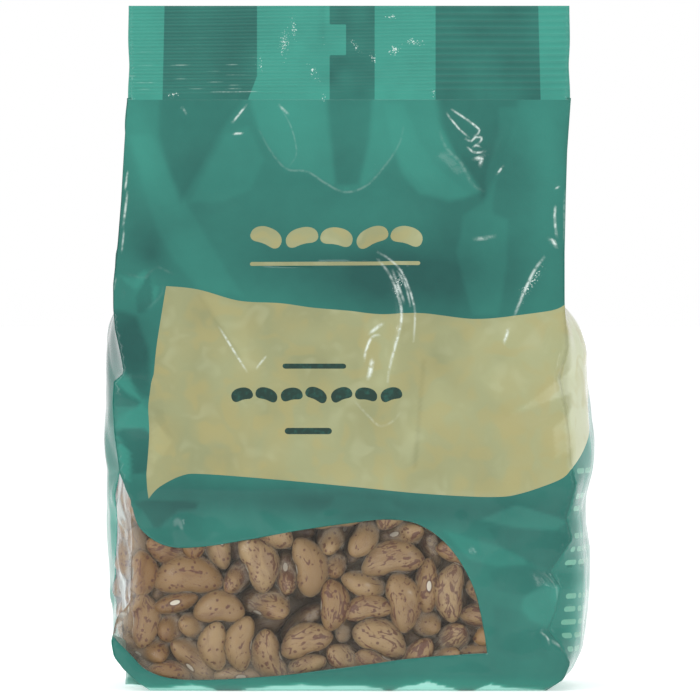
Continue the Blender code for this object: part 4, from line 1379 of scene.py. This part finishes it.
def base_seal_piece():
    """The end seal folded under the base, with its left ear curling up."""
    left_end = -57.2

    def place_at(u, v):
        x = left_end + u * 106.5
        curl = 1 - smooth_step(left_end, -47.0, x)
        y = (v - 0.5) * 14.0 * (1 - 0.12 * curl)
        z = 0.22 + curl ** 1.3 * (0.4 + 3.2 * v) + 0.10 * np.sin(2 * math.pi * y / 1.5) * (1 - curl)
        crumple = 0.4 * value_noise(x + 60, y + 20, 3.0, 97) + 0.35 * facet_noise(x + 60, y + 20, 4.0, 98)
        return np.stack([x, y, np.maximum(z + curl * crumple, 0.18)], axis=-1)

    # Painted glare makes the curled left ear pale
    return strip("base_seal", 42, 150, place_at, lambda u: 0.1 - 1.1 * (1 - smooth_step(0.0, 0.10, u)))


# Materials

def linear(red, green, blue):
    """Screen colour from 0 to 255, as the shader's own linear colour."""
    def one(value):
        value /= 255
        return value / 12.92 if value <= 0.04045 else ((value + 0.055) / 1.055) ** 2.4
    return (one(red), one(green), one(blue), 1.0)


TEAL_LIGHT = linear(56, 145, 129)
TEAL_DARK = linear(17, 77, 71)
CREAM_LIGHT = linear(157, 160, 119)
CREAM_DARK = linear(134, 137, 99)
INK_COLOR = linear(24, 52, 44)
PALE_COLOR = linear(104, 167, 145)
TEAL_PAINTED_GLARE = linear(160, 214, 203)
CREAM_PALE_AND_GLARE = linear(192, 197, 164)
CREAM_OCHRE = linear(166, 152, 96)
PAINTED_GLINT_WHITE = linear(236, 248, 242)
BEAN_LIGHT = linear(189, 165, 125)
BEAN_BROWN = linear(148, 115, 74)
BEAN_GOLD = linear(152, 112, 60)
BEAN_STREAK = linear(98, 54, 52)
BEAN_HILUM = linear(232, 226, 208)
BEAN_RING = linear(96, 62, 48)
BEAN_SHADE = linear(58, 38, 28)
FILM_IOR = 1.40
CLEAR_IOR = 1.26
# How far the bean's eye reaches along and over the bean, as axis and millimetres
EYE_REACH = ((0, 1.35), (2, 0.62))


class Nodes:
    """The node tree of a material or a world, with one short call for each node."""

    def __init__(self, owner):
        owner.use_nodes = True
        self.owner = owner
        self.tree = owner.node_tree
        self.tree.nodes.clear()

    def add(self, kind, inputs=None, **settings):
        node = self.tree.nodes.new(kind)
        for key, value in settings.items():
            setattr(node, key, value)
        for key, value in (inputs or {}).items():
            if isinstance(value, bpy.types.NodeSocket):
                self.tree.links.new(value, node.inputs[key])
            else:
                node.inputs[key].default_value = value
        return node

    def math(self, operation, *values, clamp=False):
        inputs = dict(enumerate(values))
        return self.add("ShaderNodeMath", inputs, operation=operation, use_clamp=clamp).outputs[0]

    def clamped(self, value):
        """The value, held between 0 and 1."""
        return self.math("ADD", value, 0.0, clamp=True)

    def vector(self, operation, first, second):
        return self.add("ShaderNodeVectorMath", {0: first, 1: second}, operation=operation).outputs[0]

    def attribute(self, name, output="Fac"):
        return self.add("ShaderNodeAttribute", attribute_name=name).outputs[output]

    def place(self):
        return self.add("ShaderNodeTexCoord").outputs["Object"]

    def noise(self, vector, scale, detail=2.0, distortion=0.0, roughness=0.5):
        return self.add("ShaderNodeTexNoise", {
            "Vector": vector, "Scale": scale, "Detail": detail, "Distortion": distortion,
            "Roughness": roughness,
        }).outputs["Fac"]

    def mix(self, share, first, second):
        return self.add("ShaderNodeMix", {0: share, 6: first, 7: second}, data_type="RGBA").outputs[2]

    def mix_shader(self, share, first, second):
        return self.add("ShaderNodeMixShader", {0: share, 1: first, 2: second}).outputs[0]

    def ramp(self, value, low, high, to_low=0.0, to_high=1.0):
        return self.add("ShaderNodeMapRange", {
            0: value, 1: low, 2: high, 3: to_low, 4: to_high,
        }, interpolation_type="SMOOTHSTEP").outputs[0]

    def bump(self, height, strength, distance):
        inputs = {"Height": height, "Strength": strength, "Distance": distance}
        return self.add("ShaderNodeBump", inputs).outputs["Normal"]

    def finish(self, shader, output="ShaderNodeOutputMaterial"):
        """Ends the tree with this shader, and gives its owner back."""
        self.add(output, {"Surface": shader})
        return self.owner

    def principled(self, color, roughness, others):
        """Ends the tree with the usual surface shader."""
        inputs = {"Base Color": color, "Roughness": roughness, **others}
        return self.finish(self.add("ShaderNodeBsdfPrincipled", inputs).outputs[0])


def material_nodes(name):
    return Nodes(bpy.data.materials.new(name))


def film_finish(nodes, color, roughness=0.13):
    """Glossy print film: a fine crinkle, uneven gloss, painted glints along creases and painted flecks of
    light.
    """
    place = nodes.place()
    density = nodes.math("MULTIPLY_ADD", nodes.attribute("painted_flecks"), 0.30, -0.30)
    speck = nodes.ramp(nodes.math("ADD", nodes.noise(place, 3000.0, 2.0), density), 0.50, 0.60, 0.0, 0.75)
    broken = nodes.ramp(nodes.noise(place, 750.0, 2.0), 0.36, 0.58, 0.30, 1.0)
    line = nodes.math("MULTIPLY", nodes.attribute("painted_glint"), broken)
    # Painted highlights: glints along the creases and flecks of light, mixed towards white
    color = nodes.mix(nodes.math("MAXIMUM", line, speck), color, PAINTED_GLINT_WHITE)
    smear = nodes.noise(place, 60.0, 3.0, 0.6)
    grain = nodes.noise(place, 420.0, 3.0, 1.2)
    fine = nodes.noise(place, 1500.0, 2.0)
    height = nodes.math("ADD", nodes.math("MULTIPLY", grain, 0.7), nodes.math("MULTIPLY", fine, 0.3))
    normal = nodes.bump(height, 0.20, 0.00025)
    rough = nodes.ramp(smear, 0.3, 0.75, roughness - 0.03, roughness + 0.08)
    return nodes.principled(color, rough, {"Normal": normal, "IOR": FILM_IOR})


def print_share(nodes, tone):
    """The stored tone with a little cloud and mottle of its own."""
    place = nodes.place()
    cloud = nodes.math("MULTIPLY", nodes.math("SUBTRACT", nodes.noise(place, 45.0, 3.0, 0.4), 0.5), 0.22)
    mottle = nodes.math("MULTIPLY", nodes.math("SUBTRACT", nodes.noise(place, 260.0, 3.0), 0.5), 0.10)
    return nodes.math("ADD", nodes.math("ADD", nodes.attribute(tone), cloud), mottle)


def teal_material():
    """Teal print: darker where film lies behind it and where shade is painted, paler where glare is
    painted.
    """
    nodes = material_nodes("teal_film")
    share = print_share(nodes, "layers_and_painted_light")
    seal_dark = nodes.ramp(nodes.attribute("into_dark"), 0.04, 0.24, 0.0, 0.62)
    share = nodes.math("ADD", share, seal_dark)
    color = nodes.mix(nodes.clamped(share), TEAL_LIGHT, TEAL_DARK)
    # Painted glare: pale where the tone runs below 0
    color = nodes.mix(nodes.ramp(share, -0.8, -0.02, 1.0, 0.0), color, TEAL_PAINTED_GLARE)
    return film_finish(nodes, color)


def cream_material():
    """Cream print, faintly ochre where beans show through, paler where glare is painted and in random
    spots.
    """
    nodes = material_nodes("cream_film")
    share = print_share(nodes, "cream_tone")
    color = nodes.mix(nodes.clamped(share), CREAM_LIGHT, CREAM_DARK)
    # Painted glare: pale where the tone runs below 0
    color = nodes.mix(nodes.ramp(share, -0.8, 0.0, 1.0, 0.0), color, CREAM_PALE_AND_GLARE)
    color = nodes.mix(nodes.math("MULTIPLY", nodes.attribute("ghosts"), 0.30), color, CREAM_OCHRE)
    small = nodes.noise(nodes.place(), 170.0, 1.0, 0.4)
    color = nodes.mix(nodes.ramp(small, 0.50, 0.66, 0.0, 0.30), color, CREAM_OCHRE)
    color = nodes.mix(nodes.ramp(small, 0.26, 0.46, 0.14, 0.0), color, CREAM_PALE_AND_GLARE)
    return film_finish(nodes, color)


def ink_material(name, color):
    """A printed colour, a little worn so that the teal shows."""
    nodes = material_nodes(name)
    worn = nodes.ramp(nodes.noise(nodes.place(), 700.0, 4.0), 0.45, 0.8, 0.0, 0.18)
    return film_finish(nodes, nodes.mix(worn, color, TEAL_LIGHT))


def clear_material():
    """Clear film: hazier where it stands off the beans, and streaked whiter with painted glare where it is
    loose.
    """
    nodes = material_nodes("clear_film")
    place = nodes.place()
    gap = nodes.attribute("film_gap")
    grain = nodes.noise(place, 350.0, 3.0, 1.0)
    normal = nodes.bump(grain, 0.25, 0.0003)
    haze = nodes.ramp(gap, 0.3, 3.2, 0.0, 0.17)
    smear = nodes.ramp(nodes.noise(place, 90.0, 3.0, 0.6), 0.45, 0.75, 0.0, 0.03)
    slanting = nodes.add("ShaderNodeMapping", {
        "Vector": place, "Rotation": (-0.5, 0.0, 0.0), "Scale": (1.0, 1.0, 7.0),
    }, vector_type="TEXTURE").outputs[0]
    # Painted glare: whitish slanting streaks and a whiter veil where the film is loose
    streak = nodes.ramp(nodes.noise(slanting, 260.0, 3.0, 0.5), 0.42, 0.66, 0.05, 0.62)
    loose = nodes.attribute("loose")
    haze = nodes.math("ADD", haze, smear)
    haze = nodes.math("ADD", haze, nodes.math("MULTIPLY", streak, loose), clamp=True)
    tint = nodes.mix(loose, linear(198, 186, 166), linear(216, 226, 224))
    veil = nodes.add("ShaderNodeBsdfDiffuse", {"Color": tint, "Normal": normal})
    through = nodes.add("ShaderNodeBsdfTransparent", {"Color": (0.98, 0.98, 0.98, 1)})
    body = nodes.mix_shader(haze, through.outputs[0], veil.outputs[0])
    shine = nodes.add("ShaderNodeBsdfGlossy", {"Color": (1, 1, 1, 1), "Roughness": 0.13, "Normal": normal})
    facing = nodes.add("ShaderNodeFresnel", {"IOR": CLEAR_IOR, "Normal": normal})
    return nodes.finish(nodes.mix_shader(facing.outputs[0], body, shine.outputs[0]))


def bean_marks(nodes, streak_place, dot_place, amount):
    """Streaks, dots and a fainter blush of the skin's darker colour."""
    field = nodes.noise(streak_place, 0.55, 4.0, 1.4, 0.6)
    streak = nodes.ramp(nodes.math("ADD", field, amount), 0.61, 0.67)
    dots = nodes.add("ShaderNodeTexVoronoi", {"Vector": dot_place, "Scale": 0.56, "Randomness": 1.0})
    dot = nodes.ramp(dots.outputs["Distance"], 0.17, 0.29, 1.0, 0.0)
    dot = nodes.math("MULTIPLY", dot, nodes.ramp(nodes.noise(dot_place, 0.33, 1.0), 0.38, 0.46))
    blush = nodes.math("ADD", nodes.noise(streak_place, 0.28, 3.0, 0.8), amount)
    blush = nodes.ramp(blush, 0.56, 0.72, 0.0, 0.35)
    return nodes.math("MAXIMUM", nodes.math("MAXIMUM", streak, dot), blush)


def bean_eye(nodes, local):
    """The ring and the eye on the bean's notched side."""
    axes = nodes.add("ShaderNodeSeparateXYZ", {0: local}).outputs
    squares = [nodes.math("POWER", nodes.math("DIVIDE", axes[i], reach), 2.0) for i, reach in EYE_REACH]
    radial = nodes.math("SQRT", nodes.math("ADD", *squares))
    below = nodes.math("LESS_THAN", axes[1], -1.0)
    ring = nodes.math("MULTIPLY", nodes.ramp(radial, 1.15, 1.6, 0.75, 0.0), below)
    eye = nodes.math("MULTIPLY", nodes.ramp(radial, 0.85, 1.05, 1.0, 0.0), below)
    return ring, eye


def bean_material():
    """Tan skin with purple-brown streaks and dots, a white eye with a dark ring, and painted shade deeper
    behind the film.
    """
    nodes = material_nodes("bean_skin")
    local = nodes.attribute("bean_place", "Vector")
    tone = nodes.attribute("bean_tone", "Vector")
    shift = nodes.vector("MULTIPLY", tone, (60.0, 60.0, 60.0))
    stretched = nodes.vector("MULTIPLY", local, (0.42, 1.0, 1.0))
    streak_place = nodes.vector("ADD", stretched, shift)
    dot_place = nodes.vector("ADD", local, shift)
    tones = nodes.add("ShaderNodeSeparateXYZ", {0: tone}).outputs
    amount = nodes.math("MULTIPLY", tones[0], 0.13)
    marks = bean_marks(nodes, streak_place, dot_place, amount)
    brown = nodes.math("MULTIPLY", tones[1], 0.55)
    cloud = nodes.math("MULTIPLY", nodes.noise(dot_place, 0.16, 3.0), 0.5)
    color = nodes.mix(nodes.math("ADD", brown, cloud, clamp=True), BEAN_LIGHT, BEAN_BROWN)
    color = nodes.mix(nodes.ramp(tones[2], 0.90, 0.94, 0.0, 0.65), color, BEAN_GOLD)
    color = nodes.mix(nodes.math("MULTIPLY", marks, 0.78), color, BEAN_STREAK)
    ring, eye = bean_eye(nodes, local)
    color = nodes.mix(ring, color, BEAN_RING)
    color = nodes.mix(eye, color, BEAN_HILUM)
    # Painted shade: the skin darkens the deeper it lies behind the film, between and under other beans
    shadow = nodes.ramp(nodes.attribute("behind_film"), 1.2, 6.2, 0.0, 0.74)
    color = nodes.mix(shadow, color, BEAN_SHADE)
    skin = nodes.noise(dot_place, 1.6, 4.0)
    height = nodes.math("ADD", nodes.math("MULTIPLY", skin, 0.5), nodes.math("MULTIPLY", eye, 0.8))
    normal = nodes.bump(height, 0.35, 0.0002)
    rough = nodes.ramp(nodes.noise(dot_place, 0.5, 2.0), 0.3, 0.7, 0.38, 0.55)
    return nodes.principled(color, rough, {"Normal": normal})


def core_material():
    """Dark brown as painted shade, for the heap in the shadow behind the loose beans."""
    nodes = material_nodes("bean_shadow")
    place = nodes.place()
    share = nodes.ramp(nodes.noise(place, 160.0, 3.0, 0.8), 0.35, 0.7)
    color = nodes.mix(share, linear(34, 25, 20), linear(66, 50, 38))
    normal = nodes.bump(nodes.noise(place, 300.0, 3.0), 0.6, 0.0008)
    return nodes.principled(color, 0.6, {"Normal": normal})


def floor_material():
    """A lit white sweep, as a packshot table is: white paint with a little light of its own."""
    nodes = material_nodes("studio_floor")
    share = nodes.ramp(nodes.noise(nodes.place(), 3.0, 2.0), 0.3, 0.7)
    color = nodes.mix(share, linear(248, 248, 248), linear(251, 251, 251))
    return nodes.principled(color, 0.6, {
        "Specular IOR Level": 0.2, "Emission Color": (1, 1, 1, 1), "Emission Strength": 0.40,
    })


# Studio

CAMERA_DISTANCE = 2.6
CAMERA_ELEVATION = math.radians(1.0)
CAMERA_TARGET = Vector((0.25, 0.0, 85.9)) * MM
VIEW_WIDTH = 0.17926
SENSOR = 36.0


WORLD_LIGHT = 0.67
FLOOR_HALF = 6.0
# Soft boxes round the bag: place, size and power
BOXES = {
    "top_box": ((0.0, -0.1, 1.0), (0.8, 0.5), 2.6),
    "front_left_box": ((-0.9, -0.95, 0.5), (0.5, 0.7), 3.5),
    "front_right_box": ((1.0, -0.8, 0.4), (0.5, 0.7), 1.35),
    "glint_left": ((-0.45, -1.0, 0.75), (0.05, 0.22), 0.6),
    "glint_right": ((0.55, -0.95, 0.35), (0.04, 0.24), 0.5),
    "left_box": ((-0.7, 0.3, 0.2), (0.4, 0.5), 0.4),
    "right_box": ((0.7, 0.3, 0.2), (0.4, 0.5), 0.15),
}
BOX_TARGET = Vector((0, 0, 0.08))


def placed(name, data, place, towards):
    """A light or a camera at its place, looking that way."""
    obj = bpy.data.objects.new(name, data)
    bpy.context.scene.collection.objects.link(obj)
    obj.location = place
    obj.rotation_mode = "QUATERNION"
    obj.rotation_quaternion = towards.to_track_quat("-Z", "Y")
    return obj


def studio_world():
    """White all round, dimmer as a light than it looks to the camera and in the gloss."""
    nodes = Nodes(bpy.data.worlds.new("studio_world"))
    white = (1, 1, 1, 1)
    paths = nodes.add("ShaderNodeLightPath").outputs
    for_light = nodes.add("ShaderNodeBackground", {"Color": white, "Strength": WORLD_LIGHT})
    for_camera = nodes.add("ShaderNodeBackground", {"Color": white, "Strength": 1.0})
    seen = nodes.math("MAXIMUM", paths["Is Camera Ray"], paths["Is Glossy Ray"])
    both = nodes.mix_shader(seen, for_light.outputs[0], for_camera.outputs[0])
    return nodes.finish(both, "ShaderNodeOutputWorld")


def studio():
    """White floor and backdrop, soft boxes round the bag, and the camera."""
    scene = bpy.context.scene
    scene.view_settings.view_transform = "Standard"
    scene.view_settings.look = "None"
    scene.world = studio_world()

    corners = [(x * FLOOR_HALF, y * FLOOR_HALF, 0) for x, y in ((-1, -1), (1, -1), (1, 1), (-1, 1))]
    floor = new_object("studio_floor", corners, [(0, 1, 2, 3)])
    floor.data.materials.append(floor_material())

    for name, (place, size, power) in BOXES.items():
        data = bpy.data.lights.new(name, "AREA")
        data.shape = "RECTANGLE"
        data.size, data.size_y = size
        data.energy = power
        placed(name, data, place, BOX_TARGET - Vector(place))

    data = bpy.data.cameras.new("camera")
    data.sensor_width = SENSOR
    data.lens = SENSOR * CAMERA_DISTANCE / VIEW_WIDTH
    data.clip_start, data.clip_end = 0.01, 20.0
    back = Vector((0, -math.cos(CAMERA_ELEVATION), math.sin(CAMERA_ELEVATION)))
    scene.camera = placed("camera", data, CAMERA_TARGET + back * CAMERA_DISTANCE, -back)


# Scene

panels = {name: Panel(name) for name in REGIONS}
loose_beans = beans_piece()
bean_core = core_piece()
films = film_pieces(panels, loose_beans)
top_seal = seal_piece()
back_seam = back_seam_piece(panels["back"])
base_film = base_film_piece(panels)
base_seal = base_seal_piece()

teal = teal_material()
cream = cream_material()
ink = ink_material("dark_print", INK_COLOR)
pale = ink_material("pale_print", PALE_COLOR)
for name, panel in panels.items():
    for material in (teal, cream, ink, pale):
        films[name].data.materials.append(material)
    # A folded gusset lies against the front and the back near the seal, so it gets thinner there
    heights = np.array([vertex.co.z for vertex in films[name].data.vertices]) / MM
    share = 1 - smooth_step(100, 135, heights) if panel.is_gusset else None
    thicken(films[name], FILM_THICKNESS, share)
films["window"].data.materials.append(clear_material())
for piece in (top_seal, back_seam, base_film, base_seal):
    piece.data.materials.append(teal)
loose_beans.data.materials.append(bean_material())
bean_core.data.materials.append(core_material())

for piece in (*films.values(), top_seal, back_seam, base_film, base_seal):
    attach(piece, "root")
    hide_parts("bag")
for piece in (loose_beans, bean_core):
    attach(piece, "root")
    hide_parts("beans")

studio()
